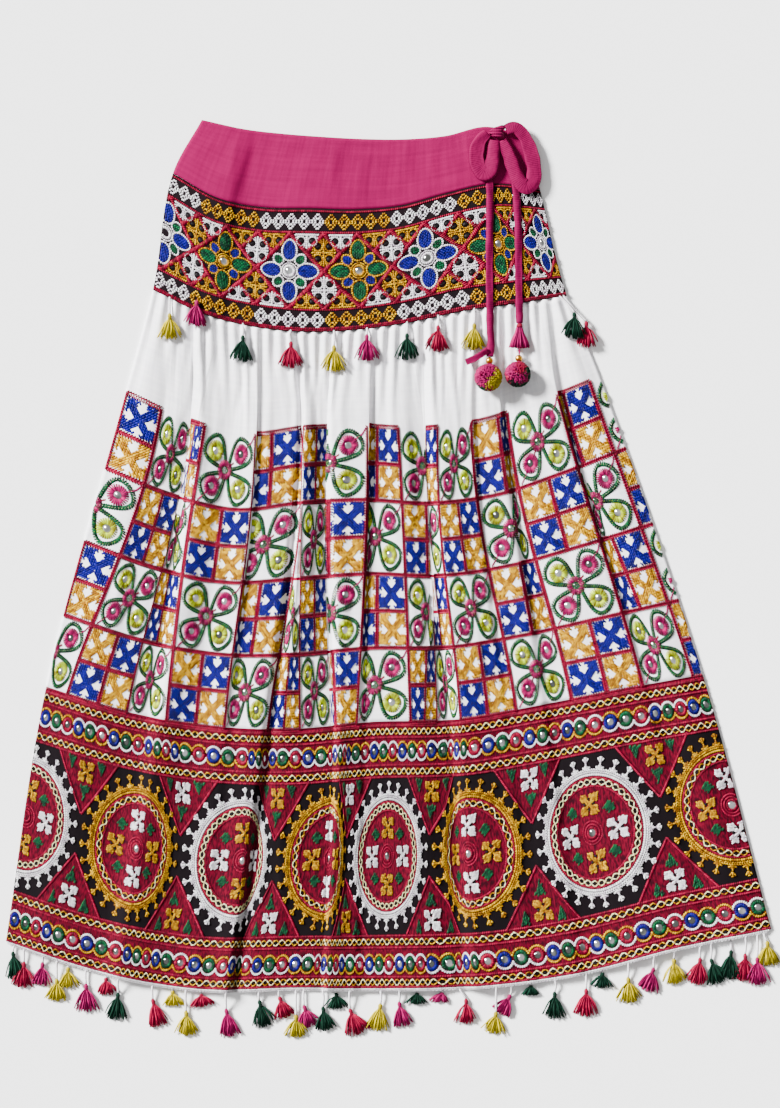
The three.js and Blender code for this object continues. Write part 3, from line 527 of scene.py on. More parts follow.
class Panel:
    """A draped panel of cloth, read from a fine grid. Places on it are in flat millimetres."""

    def __init__(self, share, start, end, top, foot, grid=(1.25, 2.5)):
        self.start, self.end, self.top, self.foot = start, end, top, foot
        self.s = np.linspace(start, end, int((end - start) / grid[0]) + 1)
        self.t = np.linspace(top, foot, int((foot - top) / grid[1]) + 1)
        s, t = (a.ravel() for a in np.meshgrid(self.s, self.t))
        left, right = edges(t)
        x = left + np.clip(share(s, t), 0, 1) * (right - left)
        z = skirt_top(x, t) if top >= SEAM else upper_top(x, t)
        points = np.column_stack([x, height_on_table(x, t), z]) + SHIFT
        self.points = points.reshape(len(self.t), len(self.s), 3)
        along = np.gradient(self.points, self.s, axis=1)
        down = np.gradient(self.points, self.t, axis=0)
        self.stretch = np.linalg.norm(along, axis=2)
        normal = np.cross(down, along)
        normal += (0, 0, 1e-3)
        self.normals = normal / np.linalg.norm(normal, axis=2)[..., None]

    def read(self, grid, s, t):
        i = np.clip((s - self.start) / (self.s[1] - self.s[0]), 0, len(self.s) - 1.001)
        j = np.clip((t - self.top) / (self.t[1] - self.t[0]), 0, len(self.t) - 1.001)
        c, r = i.astype(int), j.astype(int)
        u, v = i - c, j - r
        if grid.ndim == 3:
            u, v = u[:, None], v[:, None]
        upper = grid[r, c] * (1 - u) + grid[r, c + 1] * u
        lower = grid[r + 1, c] * (1 - u) + grid[r + 1, c + 1] * u
        return upper * (1 - v) + lower * v

    def drape(self, flat):
        """Lays flat points, with their heights over the cloth, on the panel. The result is in metres."""
        s, t, height = flat.T
        below = np.maximum(0, t - self.foot)
        surface = self.read(self.points, s, t) - np.column_stack([0 * s, below, 0 * s])
        return (surface + self.read(self.normals, s, t) * height[:, None]) * MM


# each panel runs from the first column of its table to the last
BODY = Panel(body_share, 0.5 * CELL, 15.2 * CELL, SEAM, BORDER)
BORDER_PANEL = Panel(border_share, 0.5 * CELL, 14.65 * CELL, BORDER, HEM)
YOKE = Panel(yoke_share, -0.06 * LATTICE, 6.3 * LATTICE, YOKE_TOP, SEAM)
BAND = Panel(lambda s, t: s / BAND_WIDTH, 0, BAND_WIDTH, WAIST, YOKE_TOP)
for name, panel in {"body": BODY, "border": BORDER_PANEL, "yoke": YOKE, "waistband": BAND}.items():
    print(name, "flat width in mm:", round(panel.end - panel.start))

# %% [markdown]
# ## Sheets of cloth
# Each panel is a thin closed sheet: an outer face that follows the drape, an inner face a little
# under it, and a narrow rim that joins them. A UV map named flat_cloth carries each point's place on
# the flat cloth, so weave and pattern bend into the folds with the threads.

# %% Make a mesh, and a draped sheet
def add_mesh(name, points, faces, material, uv=None):
    mesh = bpy.data.meshes.new(name)
    mesh.from_pydata(points, [], faces)
    mesh.polygons.foreach_set("use_smooth", [True] * len(mesh.polygons))
    if uv is not None:
        layer = mesh.uv_layers.new(name="flat_cloth")
        corners = np.zeros(len(mesh.loops), int)
        mesh.loops.foreach_get("vertex_index", corners)
        layer.data.foreach_set("uv", uv[corners].astype(np.float32).ravel())
    mesh.materials.append(material)
    made = bpy.data.objects.new(name, mesh)
    bpy.context.collection.objects.link(made)
    return made


def wall(outer, inner):
    """Closes two grids of points, each rows by columns, into one sheet. Returns points and faces."""
    rows, columns = outer.shape[:2]
    index = np.arange(rows * columns).reshape(rows, columns)
    a, b, c, d = index[:-1, :-1], index[1:, :-1], index[1:, 1:], index[:-1, 1:]
    face = np.stack([a, b, c, d], axis=-1).reshape(-1, 4)
    under = face[:, ::-1] + rows * columns
    border = np.concatenate([index[0, :], index[1:, -1], index[-1, -2::-1], index[-2:0:-1, 0]])
    after = np.roll(border, -1)
    rim = np.stack([border, after, after + rows * columns, border + rows * columns], axis=-1)
    points = np.concatenate([outer.reshape(-1, 3), inner.reshape(-1, 3)])
    return points, np.concatenate([face, under, rim])


# %% Lay a sheet on its panel
def cloth_grid(panel, across, down):
    """Places on the flat cloth of a panel, row by row, and the shape of their grid."""
    start = panel.top + (SEAM_GAP / 2 if panel.top > WAIST else 0)
    foot = panel.foot - (SEAM_GAP / 2 if panel.foot < HEM else 0)
    columns = np.linspace(panel.start, panel.end, int((panel.end - panel.start) / across))
    levels = np.linspace(start, foot, int((foot - start) / down))
    s, t = (a.ravel() for a in np.meshgrid(columns, levels))
    return s, t, (len(levels), len(columns), 3)


def add_sheet(name, outer, inner, s, t, material):
    points, faces = wall(outer, inner)
    return add_mesh(name, points, faces, material, np.tile(np.column_stack([s, t]) * MM, (2, 1)))


def front_sheet(name, panel, material, step, thickness=0.7):
    s, t, shape = cloth_grid(panel, *step)
    flat = np.column_stack([s, t, 0 * s])
    outer = panel.drape(flat).reshape(shape)
    inner = panel.drape(flat - (0, 0, thickness)).reshape(shape)
    return add_sheet(name, outer, inner, s, t, material)


def back_sheet(name, panel, material, step, thickness=0.9):
    """The back lies flat on the table, with its right side down."""
    s, t, shape = cloth_grid(panel, step, step)
    left, right = edges(t)
    x = left + (s - panel.start) / (panel.end - panel.start) * (right - left)
    flat = np.column_stack([x, height_on_table(x, t), 0 * x]) + SHIFT
    outer = ((flat + (0, 0, thickness)) * MM).reshape(shape)
    return add_sheet(name, outer, (flat * MM).reshape(shape), s, t, material)


# %% [markdown]
# ## Cotton, plain and printed with thread
# The body is white handloom cotton. Its yarn is uneven, so long thin streaks run both ways, a little
# brighter and darker than the rest. The waistband is magenta cotton of a closer weave. A fine wave
# in two directions gives the weave itself.


# %% Cotton
def weave(s, t, pitch):
    across = (s * (2 * math.pi / pitch)).math("SINE")
    down = (t * (2 * math.pi / pitch)).math("SINE")
    return across * down


def cotton(name, thread, shade, pitch=0.9, slub=1.0, roughness=0.85, paint=None, relief=0.35):
    """Woven cotton. paint lays further dyes over the cloth's own, from the flat place of each point."""
    m = Finish(name)
    s, t = m.flat()
    where = m.on_cloth()
    warp = m.noise(where, 240, 2, (1.0, 0.06, 1.0))
    weft = m.noise(where, 240, 2, (0.05, 1.0, 1.0))
    streaks = (warp + weft - 0.72) * (1.6 * slub)
    colour = m.mix(streaks.clamp(), thread, shade)
    height = weave(s, t, pitch) * relief + warp + weft
    if paint is not None:
        colour = paint(m, s, t, colour)
    rumple = m.noise(where, 9, 2, (1.0, 0.35, 1.0)) + m.noise(where, 26, 2, (1.0, 0.5, 1.0)) * 0.3
    soft = m.bump(rumple, 0.012, 0.6)
    normal = m.bump(height, 0.00025, 0.55, soft)
    return m.finish(colour, roughness, normal)


# %% [markdown]
# ## The ground of the embroidery
# Thread covers most of the border, but the cloth under it still shows between the stitches: black
# cotton round the medallions and crimson in the triangles and bands. The ground is drawn with node
# maths from the flat place of each point. The same drawing goes on the back of the skirt, which
# nobody sees while the skirt lies flat, with its squares, rings and bands in place of raised thread.


# %% Sizes of the motifs, and the ground of the border
MEDALLION = 2 * CELL
FIRST_MEDALLION = 0.55 * CELL
FIELD = {"middle": 832.0, "half": 90.5}
TRIANGLE = {"half width": 49.5, "height": 67.0}
MIRROR_ROWS = (713.6, 953.5)
CABLE_ROWS = (691.0, 736.6, 928.3, 974.0)
ROW_PITCH = 20.0
BLOCK_ROWS = 4
BLOCK = {"width": CELL, "height": (BORDER - BLOCKS) / BLOCK_ROWS}
LOZENGE = {"half": 40, "tall": 43.5}
YOKE_MIDDLE = 151


def from_medallion(s, t):
    """How far a place is from the nearest medallion's middle: across, up and in all."""
    across = (s - FIRST_MEDALLION).repeat(MEDALLION)
    up = (t - FIELD["middle"]).math("ABSOLUTE")
    return across, up, across.distance(up)


def border_ground(m, s, t, cloth_colour):
    across, up, radius = from_medallion(s, t)
    gap = MEDALLION / 2 - across
    edge = FIELD["half"] - TRIANGLE["height"] + gap * (TRIANGLE["height"] / TRIANGLE["half width"])
    red = (up - edge).above(0).either(radius.below(63)).either(up.above(FIELD["half"]))
    # the stitched red ground is streaked with darker red at random
    darker_streaks = ((m.noise(m.on_cloth(), 420, 2, (1.0, 0.35, 1.0)) - 0.38) * 4).clamp()
    stitched = m.mix(darker_streaks, dye(38, 1, 12), dye(92, 1, 26))
    return m.mix(red, DYES["black"], stitched)


def border_pattern(m, s, t, cloth_colour):
    """The whole border as flat colour, for the back."""
    colour = border_ground(m, s, t, cloth_colour)
    across, up, radius = from_medallion(s, t)
    second = ((s - FIRST_MEDALLION) / MEDALLION + 0.5).math("FLOOR").repeat(2).above(0.5, 0.1)
    thread = m.mix(second, DYES["white"], DYES["gold"])
    other = m.mix(second, DYES["gold"], DYES["white"])
    angle = up.math("ARCTAN2", across)
    teeth = (angle * (28 / (2 * math.pi))).repeat(1)
    ring = radius.above(65) * radius.below(73 + (0.5 - teeth) * 14)
    colour = m.mix(ring, colour, thread)
    colour = m.mix(radius.above(55) * radius.below(60), colour, DYES["cream"])
    near = across.math("MAXIMUM", (up - 32).math("ABSOLUTE"))
    far = up.math("MAXIMUM", (across - 32).math("ABSOLUTE"))
    colour = m.mix(near.below(12), colour, other)
    colour = m.mix(far.below(12), colour, thread)
    for middle in MIRROR_ROWS:
        down = t - middle
        ring = s.repeat(ROW_PITCH).distance(down)
        third = ((s / ROW_PITCH + 0.5).math("FLOOR") / 3).math("FRACT")
        dyed = m.mix(third.above(0.2, 0.1), DYES["blue"], DYES["green"])
        dyed = m.mix(third.above(0.5, 0.1), dyed, DYES["red"])
        colour = m.mix(down.math("ABSOLUTE").below(13), colour, DYES["gold"])
        colour = m.mix(ring.below(10), colour, dyed)
        colour = m.mix(ring.below(4.5), colour, DYES["cream"])
    for middle in CABLE_ROWS:
        down = (t - middle).math("ABSOLUTE")
        colour = m.mix(down.below(3), colour, DYES["cream"])
        colour = m.mix(down.below(2) * (s.repeat(9.6).below(3)), colour, DYES["black"])
    return colour


# %% Squares and butterflies as colour
def from_block(s, t):
    """Where a place is in its block, X and Y, and 1 in every second block and 1 below the blocks' top."""
    row = (t - BLOCKS) / (BORDER - BLOCKS) * BLOCK_ROWS
    column = s / CELL
    odd = (row.math("FLOOR") + column.math("FLOOR")).repeat(2).above(0.5, 0.1)
    x = column.math("FRACT") * CELL - CELL / 2
    y = (row.math("FRACT") - 0.5) * BLOCK["height"]
    return x, y, odd, t.above(BLOCKS)


def crossed_squares(x, y, wide, tall, half):
    """Place in one of a block's four squares, then 1 on its white lozenges and 1 inside its edge."""
    ax = (x.math("ABSOLUTE") - BLOCK["width"] / 4).math("ABSOLUTE")
    ay = (y.math("ABSOLUTE") - BLOCK["height"] / 4).math("ABSOLUTE")
    lozenge = (ax / wide + (ay - 13).math("ABSOLUTE") / tall).below(1, 0.1)
    lozenge = lozenge.either((ay / wide + (ax - 13).math("ABSOLUTE") / tall).below(1, 0.1))
    return ax, ay, lozenge, ax.math("MAXIMUM", ay).below(half)


def body_ground(m, s, t, cloth_colour):
    """The cloth under the squares and chain lines is painted their thread's colour, the gold deeper as
    painted shade.
    """
    x, y, odd, inside = from_block(s, t)
    ax, ay, lozenge, square = crossed_squares(x, y, 8.2, 8.2, 16.0)
    lozenge = lozenge.either((ax - ay).math("ABSOLUTE").above(14.4))
    # under the gold the paint is a deeper amber: painted shade in the gaps between the gold stitches
    thread = m.mix((x * y).below(0, 0.1), DYES["gold_painted_shade"], DYES["blue"])
    colour = m.mix(square * (1 - lozenge) * (1 - odd) * inside, cloth_colour, thread)
    line = x.math("ABSOLUTE").below(2.0).either(y.math("ABSOLUTE").below(2.0)) * (1 - odd)
    across = (t - BLOCKS).repeat(BLOCK["height"]).below(1.8) * t.above(BLOCKS + 40)
    line = line.either(s.repeat(CELL).below(1.8)).either(across)
    return m.mix(line * inside, colour, DYES["crimson"])


def body_pattern(m, s, t, cloth_colour):
    """The rows of squares and rings as flat colour, for the back."""
    x, y, odd, inside = from_block(s, t)
    _, _, lozenge, square = crossed_squares(x, y, 6.8, 6.5, 18.5)
    thread = m.mix((x * y).below(0, 0.1), DYES["gold"], DYES["blue"])
    colour = m.mix(square * (1 - lozenge) * (1 - odd) * inside, cloth_colour, thread)
    ring = (x.math("ABSOLUTE") - 19).distance(y.math("ABSOLUTE") - 19)
    petal = ring.above(14) * ring.below(18) * odd * inside
    colour = m.mix(petal, colour, DYES["green"])
    eye = m.mix((x * y).below(0, 0.1), DYES["lime"], DYES["pink"])
    colour = m.mix(ring.below(11) * odd * inside, colour, eye)
    line = s.repeat(CELL).below(2.4).either((t - BLOCKS).repeat(BLOCK["height"]).below(2.4))
    middles = x.math("ABSOLUTE").below(2).either(y.math("ABSOLUTE").below(2))
    line = line.either(middles * (1 - odd))
    return m.mix(line * inside, colour, DYES["crimson"])


# %% The lattice as colour, and the seven cottons
def yoke_pattern(m, s, t, cloth_colour):
    """The lattice with its flowers as flat colour, for the back."""
    x = s.repeat(LATTICE)
    y = (t - YOKE_MIDDLE).math("ABSOLUTE")
    diamond = x / LOZENGE["half"] + y / 44
    colour = m.mix((diamond - 1).math("ABSOLUTE").below(0.07, 0.02), DYES["black"], DYES["red"])
    for middle_x, middle_y, dyed in ((0, 24, "blue"), (21, 0, "blue"), (12.5, 14, "green")):
        far = (x - middle_x).distance(y - middle_y)
        size = 7 if dyed == "green" else 10
        colour = m.mix(far.below(size), colour, DYES["white"])
        colour = m.mix(far.below(size - 2), colour, DYES[dyed])
    small = (x - LOZENGE["half"]).math("ABSOLUTE") / 15 + (y - 22).math("ABSOLUTE") / 18
    colour = m.mix(small.below(1, 0.05), colour, DYES["gold"])
    rows = (y - 57).math("ABSOLUTE")
    outlined = (rows / 9 + s.repeat(LATTICE / 5) / 8 - 0.8).math("ABSOLUTE").below(0.2, 0.05)
    colour = m.mix(outlined, colour, DYES["white"])
    return m.mix((y - 46).math("ABSOLUTE").below(1.5), colour, DYES["red"])


def patterned(name, dyed, paint, pitch=1.1, roughness=0.85, relief=0.35):
    return cotton(name, dyed, dyed, pitch, roughness=roughness, paint=paint, relief=relief)


BLEACHED = dye(240, 238, 240)
WHITE_COTTON = cotton("white_handloom_cotton", BLEACHED, dye(222, 220, 225), paint=body_ground)
BACK_BODY = cotton("white_cotton_back", BLEACHED, dye(214, 212, 218), paint=body_pattern)
MAGENTA = cotton("magenta_cotton", DYES["magenta"], dye(98, 1, 50), 0.7, 0.7, 0.8)
YOKE_CLOTH = cotton("yoke_ground_cotton", DYES["black"], dye(20, 10, 14), 1.1)
BACK_YOKE = patterned("yoke_cotton_back", DYES["black"], yoke_pattern)
BORDER_CLOTH = patterned("border_ground_cotton", DYES["border red"], border_ground, 2.6, 0.8, 1.0)
BACK_BORDER = patterned("border_cotton_back", DYES["border red"], border_pattern, roughness=0.8)

# %% Lay out the eight panels
SHEETS = {
    "waistband_front": front_sheet("waistband_cloth_front", BAND, MAGENTA, (3.0, 3.0)),
    "yoke_front": front_sheet("yoke_cloth_front", YOKE, YOKE_CLOTH, (3.0, 4.0)),
    "skirt_front": front_sheet("skirt_cloth_front", BODY, WHITE_COTTON, (3.4, 6.5), 0.6),
    "border_front": front_sheet("border_cloth_front", BORDER_PANEL, BORDER_CLOTH, (3.8, 7.0)),
    "waistband_back": back_sheet("waistband_cloth_back", BAND, MAGENTA, 8),
    "yoke_back": back_sheet("yoke_cloth_back", YOKE, BACK_YOKE, 8),
    "skirt_back": back_sheet("skirt_cloth_back", BODY, BACK_BODY, 12),
    "border_back": back_sheet("border_cloth_back", BORDER_PANEL, BACK_BORDER, 12),
}
for node, sheet in SHEETS.items():
    print(sheet.name, "faces:", len(sheet.data.polygons))

# %% [markdown]
# ## One stitch, many times
# All the embroidery is made of one shape: a short raised stitch of thread, with a ridge along its
# top and pointed ends that dive into the cloth. Geometry Nodes puts it on every point of a flat
# design, turned, sized and dyed by the attributes of the point. Sixty thousand separate objects would
# be slow and could not be exported, so the tree ends by realizing them as one mesh.

# %% The shape of one stitch
BASE_OF_STITCH = [(-0.5, -0.44), (0.5, -0.44), (0.5, 0.44), (-0.5, 0.44)]
RIDGE_OF_STITCH = [(-0.26, 0), (0.26, 0)]


def stitch_shape():
    points = [(x, y, -0.15) for x, y in BASE_OF_STITCH] + [(x, y, 1) for x, y in RIDGE_OF_STITCH]
    faces = [(0, 1, 5, 4), (1, 2, 5), (2, 3, 4, 5), (3, 0, 4), (3, 2, 1, 0)]
    mesh = bpy.data.meshes.new("stitch_shape")
    mesh.from_pydata(points, [], faces)
    layer = mesh.uv_layers.new(name="along_thread")
    for loop in mesh.loops:
        x, y, _ = points[loop.vertex_index]
        layer.data[loop.index].uv = (x + 0.5, y + 0.5)
    return bpy.data.objects.new("stitch_shape", mesh)


# %% The tree that repeats a shape
def repeat_tree(name, inputs):
    """A tree that puts a shape on every point, turned and sized by the point's own attributes."""
    tree = bpy.data.node_groups.new(name, "GeometryNodeTree")
    tree.interface.new_socket("Geometry", in_out="OUTPUT", socket_type="NodeSocketGeometry")
    tree.interface.new_socket("Points", in_out="INPUT", socket_type="NodeSocketGeometry")
    for title, kind in inputs.items():
        tree.interface.new_socket(title, in_out="INPUT", socket_type=kind)
    given = tree.nodes.new("NodeGroupInput")
    shape = tree.nodes.new("GeometryNodeObjectInfo")
    size = tree.nodes.new("GeometryNodeInputNamedAttribute")
    size.data_type = "FLOAT_VECTOR"
    size.inputs["Name"].default_value = "size"
    angle = tree.nodes.new("GeometryNodeInputNamedAttribute")
    angle.inputs["Name"].default_value = "angle"
    turn = tree.nodes.new("ShaderNodeCombineXYZ")
    raised = tree.nodes.new("ShaderNodeVectorMath")
    raised.operation = "MULTIPLY"
    taller = tree.nodes.new("ShaderNodeCombineXYZ")
    taller.inputs[0].default_value = 1
    taller.inputs[1].default_value = 1
    spread = tree.nodes.new("GeometryNodeInstanceOnPoints")
    real = tree.nodes.new("GeometryNodeRealizeInstances")
    finish = tree.nodes.new("GeometryNodeSetMaterial")
    out = tree.nodes.new("NodeGroupOutput")
    link = tree.links.new
    link(given.outputs["Shape"], shape.inputs["Object"])
    link(given.outputs["Points"], spread.inputs["Points"])
    link(shape.outputs["Geometry"], spread.inputs["Instance"])
    link(angle.outputs["Attribute"], turn.inputs["Z"])
    link(turn.outputs[0], spread.inputs["Rotation"])
    link(given.outputs["Raise"], taller.inputs[2])
    link(size.outputs["Attribute"], raised.inputs[0])
    link(taller.outputs[0], raised.inputs[1])
    link(raised.outputs[0], spread.inputs["Scale"])
    link(spread.outputs[0], real.inputs[0])
    link(real.outputs[0], finish.inputs["Geometry"])
    link(given.outputs["Material"], finish.inputs["Material"])
    link(finish.outputs[0], out.inputs[0])
    return tree


INPUTS = {"Shape": "NodeSocketObject", "Raise": "NodeSocketFloat", "Material": "NodeSocketMaterial"}
REPEAT = repeat_tree("put_shape_on_points", INPUTS)
STITCH = stitch_shape()
print("inputs of the tree:", ", ".join(INPUTS))


# %% Run the tree on a table of rows
def repeated(name, rows, shape, material, lift=1.0):
    """rows: x, y, z, angle, length, width, height, red, green, blue. Returns one real mesh object."""
    mesh = bpy.data.meshes.new(name + "_points")
    mesh.from_pydata(rows[:, :3], [], [])
    for title, kind, values in (
        ("angle", "FLOAT", rows[:, 3]),
        ("size", "FLOAT_VECTOR", rows[:, 4:7]),
        ("thread", "FLOAT_COLOR", np.column_stack([rows[:, 7:10], np.ones(len(rows))])),
    ):
        attribute = mesh.attributes.new(title, kind, "POINT")
        key = {"FLOAT": "value", "FLOAT_VECTOR": "vector", "FLOAT_COLOR": "color"}[kind]
        attribute.data.foreach_set(key, np.ascontiguousarray(values, np.float32).ravel())
    carrier = bpy.data.objects.new(name + "_points", mesh)
    bpy.context.collection.objects.link(carrier)
    modifier = carrier.modifiers.new("repeat", "NODES")
    modifier.node_group = REPEAT
    sockets = {item.name: item.identifier for item in REPEAT.interface.items_tree if item.in_out == "INPUT"}
    modifier[sockets["Shape"]] = shape
    modifier[sockets["Raise"]] = lift
    modifier[sockets["Material"]] = material
    depsgraph = bpy.context.evaluated_depsgraph_get()
    made = bpy.data.meshes.new_from_object(
        carrier.evaluated_get(depsgraph), preserve_all_data_layers=True, depsgraph=depsgraph)
    bpy.data.objects.remove(carrier)
    made.name = name
    made.polygons.foreach_set("use_smooth", [True] * len(made.polygons))
    piece = bpy.data.objects.new(name, made)
    bpy.context.collection.objects.link(piece)
    return piece


def vertices_of(piece):
    points = np.zeros(len(piece.data.vertices) * 3, np.float32)
    piece.data.vertices.foreach_get("co", points)
    return points.reshape(-1, 3).astype(float)


def set_vertices(piece, points):
    piece.data.vertices.foreach_set("co", points.astype(np.float32).ravel())
    piece.data.update()


# %% [markdown]
# ## A worker's few moves
# Hand embroidery is made of a few moves, and each becomes a short function. A chain is a line of
# small V shapes. A rope is a line of slanted stitches. A cable is two threads that cross like a
# twisted cord. A filling covers a shape with rows of stitches, laid like bricks. A wheel is the ring
# of stitches that holds a mirror. Each returns rows in the motif's own millimetres, up to the waist.


# %% Lines and fillings of thread
def stitches(x, y, angle, length, width, height, dyed):
    columns = (x, y, 0, angle, length, width, height)
    parts = np.broadcast_arrays(*(np.atleast_1d(v).astype(float) for v in columns))
    # each stitch is made lighter or darker at random: partly the thread's own tone, partly painted shade and
    # highlight; the lighter ones are also a little yellower
    darkest = 0.72 if dyed in ("white", "cream") else 0.42
    shade = chance.uniform(darkest, 1.5, (parts[0].size, 1)) ** np.array([1, 1.4, 1])
    colour = np.minimum(np.array(DYES[dyed][:3]) * shade, 0.9)
    return np.column_stack([*parts, colour])


def walk(path, pitch):
    """Even steps along a path of points: X, Y, direction and distance."""
    path = np.array(path, float)
    steps = np.hypot(*np.diff(path, axis=0).T)
    run = np.concatenate([[0], np.cumsum(steps)])
    count = max(1, round(run[-1] / pitch))
    at = (np.arange(count) + 0.5) * run[-1] / count
    x, y = np.interp(at, run, path[:, 0]), np.interp(at, run, path[:, 1])
    leg = np.clip(np.searchsorted(run, at) - 1, 0, len(steps) - 1)
    direction = np.diff(path, axis=0)[leg]
    return x, y, np.arctan2(direction[:, 1], direction[:, 0]), at


def beside(x, y, angle, offset):
    return x - offset * np.sin(angle), y + offset * np.cos(angle)


def chain(path, width, dyed, pitch=3.1, height=1.1):
    x, y, angle, _ = walk(path, pitch)
    sides = []
    for side in (-1, 1):
        px, py = beside(x, y, angle, side * width * 0.24)
        sides.append(stitches(px, py, angle + side * 0.62, width * 0.86, pitch * 0.68, height, dyed))
    return np.vstack(sides)


def dots(path, dyed, pitch=3.2, size=1.3, height=1.7):
    x, y, angle, _ = walk(path, pitch)
    return stitches(x, y, angle, size, size, height, dyed)


def rope(path, width, dyed, pitch=2.2, height=1.2, slant=0.75):
    x, y, angle, _ = walk(path, pitch)
    return stitches(x, y, angle + slant, width * 1.25, pitch * 1.15, height, dyed)


def thread(path, width, dyed, pitch=5.0, height=0.9):
    x, y, angle, _ = walk(path, pitch)
    return stitches(x, y, angle, pitch * 1.15, width, height, dyed)


def cable(path, first, second, wave=19.2, half=3.0):
    """Two threads that cross every half wave, round eyes of black cloth."""
    x, y, angle, run = walk(path, 3.9)
    rows = []
    for side, dyed in ((1, first), (-1, second)):
        swing = 2 * np.pi * run / wave
        px, py = beside(x, y, angle, side * half * np.sin(swing))
        slope = np.arctan(side * half * 2 * np.pi / wave * np.cos(swing))
        rows.append(stitches(px, py, angle + slope, 5.4, 1.7, 1.5, dyed))
    x, y, angle, _ = walk(path, wave / 2)
    rows.append(stitches(x, y, angle, 7.0, 4.4, 0.45, "black"))
    return np.vstack(rows)


def rotated(x, y, turn):
    return x * math.cos(turn) - y * math.sin(turn), x * math.sin(turn) + y * math.cos(turn)


def filling(shape, half, angle, dyed, length=4.8, row=2.5, height=1.0):
    """Rows of stitches like bricks, wherever shape(x, y) says."""
    reach = half * 1.45
    v = np.arange(-reach, reach, row * 0.9)
    u = np.arange(-reach, reach, length * 0.93)
    u, v = np.meshgrid(u, v)
    u = u + np.where(np.round(v / (row * 0.9)) % 2 > 0.5, length * 0.46, 0)
    u = u.ravel() + chance.normal(0, 0.16, u.size)
    v = v.ravel() + chance.normal(0, 0.1, v.size)
    x, y = rotated(u, v, angle)
    keep = shape(x, y)
    x, y = x[keep], y[keep]
    turn = angle + chance.normal(0, 0.09, x.size)
    size = length * chance.uniform(1.05, 1.3, x.size)
    return stitches(x, y, turn, size, row * 1.25, height * chance.uniform(0.75, 1.2, x.size), dyed)


def two_way_filling(shape, half, angles, dyed, *size):
    """A filling whose quarters run along two directions in turn."""
    rising = filling(lambda x, y: shape(x, y) & (x * y > 0), half, angles[0], dyed, *size)
    falling = filling(lambda x, y: shape(x, y) & (x * y <= 0), half, angles[1], dyed, *size)
    return np.vstack([rising, falling])


def wheel(x, y, inner, outer, count, dyed, height=1.5):
    turn = np.arange(count) * 2 * np.pi / count
    middle = (inner + outer) / 2
    width = 2 * np.pi * middle / count * 1.4
    x, y = x + middle * np.cos(turn), y + middle * np.sin(turn)
    return stitches(x, y, turn + 0.12, (outer - inner) * 1.1, width, height, dyed)


def circle(radius, x=0.0, y=0.0, start=0.0, end=2 * np.pi, count=48):
    turn = np.linspace(start, end, count)
    return np.column_stack([x + radius * np.cos(turn), y + radius * np.sin(turn)])


def moved(rows, x, y):
    rows = rows.copy()
    rows[:, 0] += x
    rows[:, 1] += y
    return rows


def turned(rows, turn):
    rows = rows.copy()
    rows[:, 0], rows[:, 1] = rotated(rows[:, 0].copy(), rows[:, 1].copy(), turn)
    rows[:, 3] += turn
    return rows


sample = chain([(0, 0), (100, 0)], 4, "crimson")
print("stitches in 100 mm of chain:", len(sample))

# %% [markdown]
# ## The body: squares and butterflies
# The body carries four rows of blocks like a chessboard. One block holds four squares, each a thick
# cross of gold or blue thread that leaves four white lozenges. The other holds a butterfly of four
# green loops with mirrors in them: lime rings on one diagonal, pink ones on the other, and a crimson
# stem that runs through the pink ones. Crimson chain frames the blocks with the squares.


# %% The two blocks
def crossed_square(dyed):
    def shape(x, y):
        ax, ay = np.abs(x), np.abs(y)
        lozenge = (ax / 6.2 + np.abs(ay - 13) / 6.4 < 1) | (ay / 6.2 + np.abs(ax - 13) / 6.4 < 1)
        corner = np.abs(ax - ay) > 15
        return (np.maximum(ax, ay) < 17.8) & ~lozenge & ~corner

    return two_way_filling(shape, 19, (math.pi / 4, -math.pi / 4), dyed, 4.6, 2.6, 1.2)


BLOCK_COLUMNS = 16


def squares_block():
    w, h = BLOCK["width"] / 2, BLOCK["height"] / 2
    rows = []
    for x, y, dyed in ((-1, 1, "gold"), (1, 1, "blue"), (-1, -1, "blue"), (1, -1, "gold")):
        rows.append(moved(crossed_square(dyed), x * w / 2, y * h / 2))
    for share in (-1, 0, 1):
        rows.append(chain([(-w, share * h), (w, share * h)], 6.4, "crimson", 3.1, 1.5))
        rows.append(chain([(share * w, -h), (share * w, h)], 6.4, "crimson", 3.1, 1.5))
    return np.vstack(rows)


def loop_path(turn, length=44, width=23.5):
    """A drop-shaped loop that starts at the middle and leans along a diagonal."""
    phi = np.linspace(0, 2 * np.pi, 40)
    u = 1 + length / 2 * (1 - np.cos(phi))
    v = width * np.sin(phi) * (0.55 - 0.45 * np.cos(phi))
    return np.column_stack(rotated(u, v, turn))


# x, y, radius of the glass, outer radius of its ring, dye
BUTTERFLY_MIRRORS = [
    (-20, 20, 5.0, 12.0, "lime"), (20, -20, 5.0, 12.0, "lime"), (20.5, 20.5, 4.6, 12.0, "pink"),
    (-20, -20, 4.6, 12.0, "pink"), (-3.0, 0.5, 4.6, 11.6, "pink"),
]


def butterfly():
    rows = []
    for k in range(4):
        path = loop_path(math.pi * (0.25 + 0.5 * k))
        rows.append(rope(path, 5.4, "green", 2.6, 1.6, 1.1))
        rows.append(dots(path, "lime" if k % 2 else "cream", 3.4, 1.0, 1.9))
    for x, y, glass, outer, dyed in BUTTERFLY_MIRRORS:
        rows.append(wheel(x, y, glass - 0.5, outer, 26, dyed, 2.0))
    rows.append(rope([(-38, -40), (-30, -32), (-26, -26)], 2.6, "pink", 2.2))
    rows.append(rope([(-12, -11), (-9, -8)], 2.4, "crimson", 2.0))
    rows.append(rope([(2, 5), (10, 10)], 2.4, "crimson", 2.0))
    rows.append(rope([(28, 27), (37, 34), (41, 41)], 2.4, "pink", 2.2))
    return np.vstack(rows)


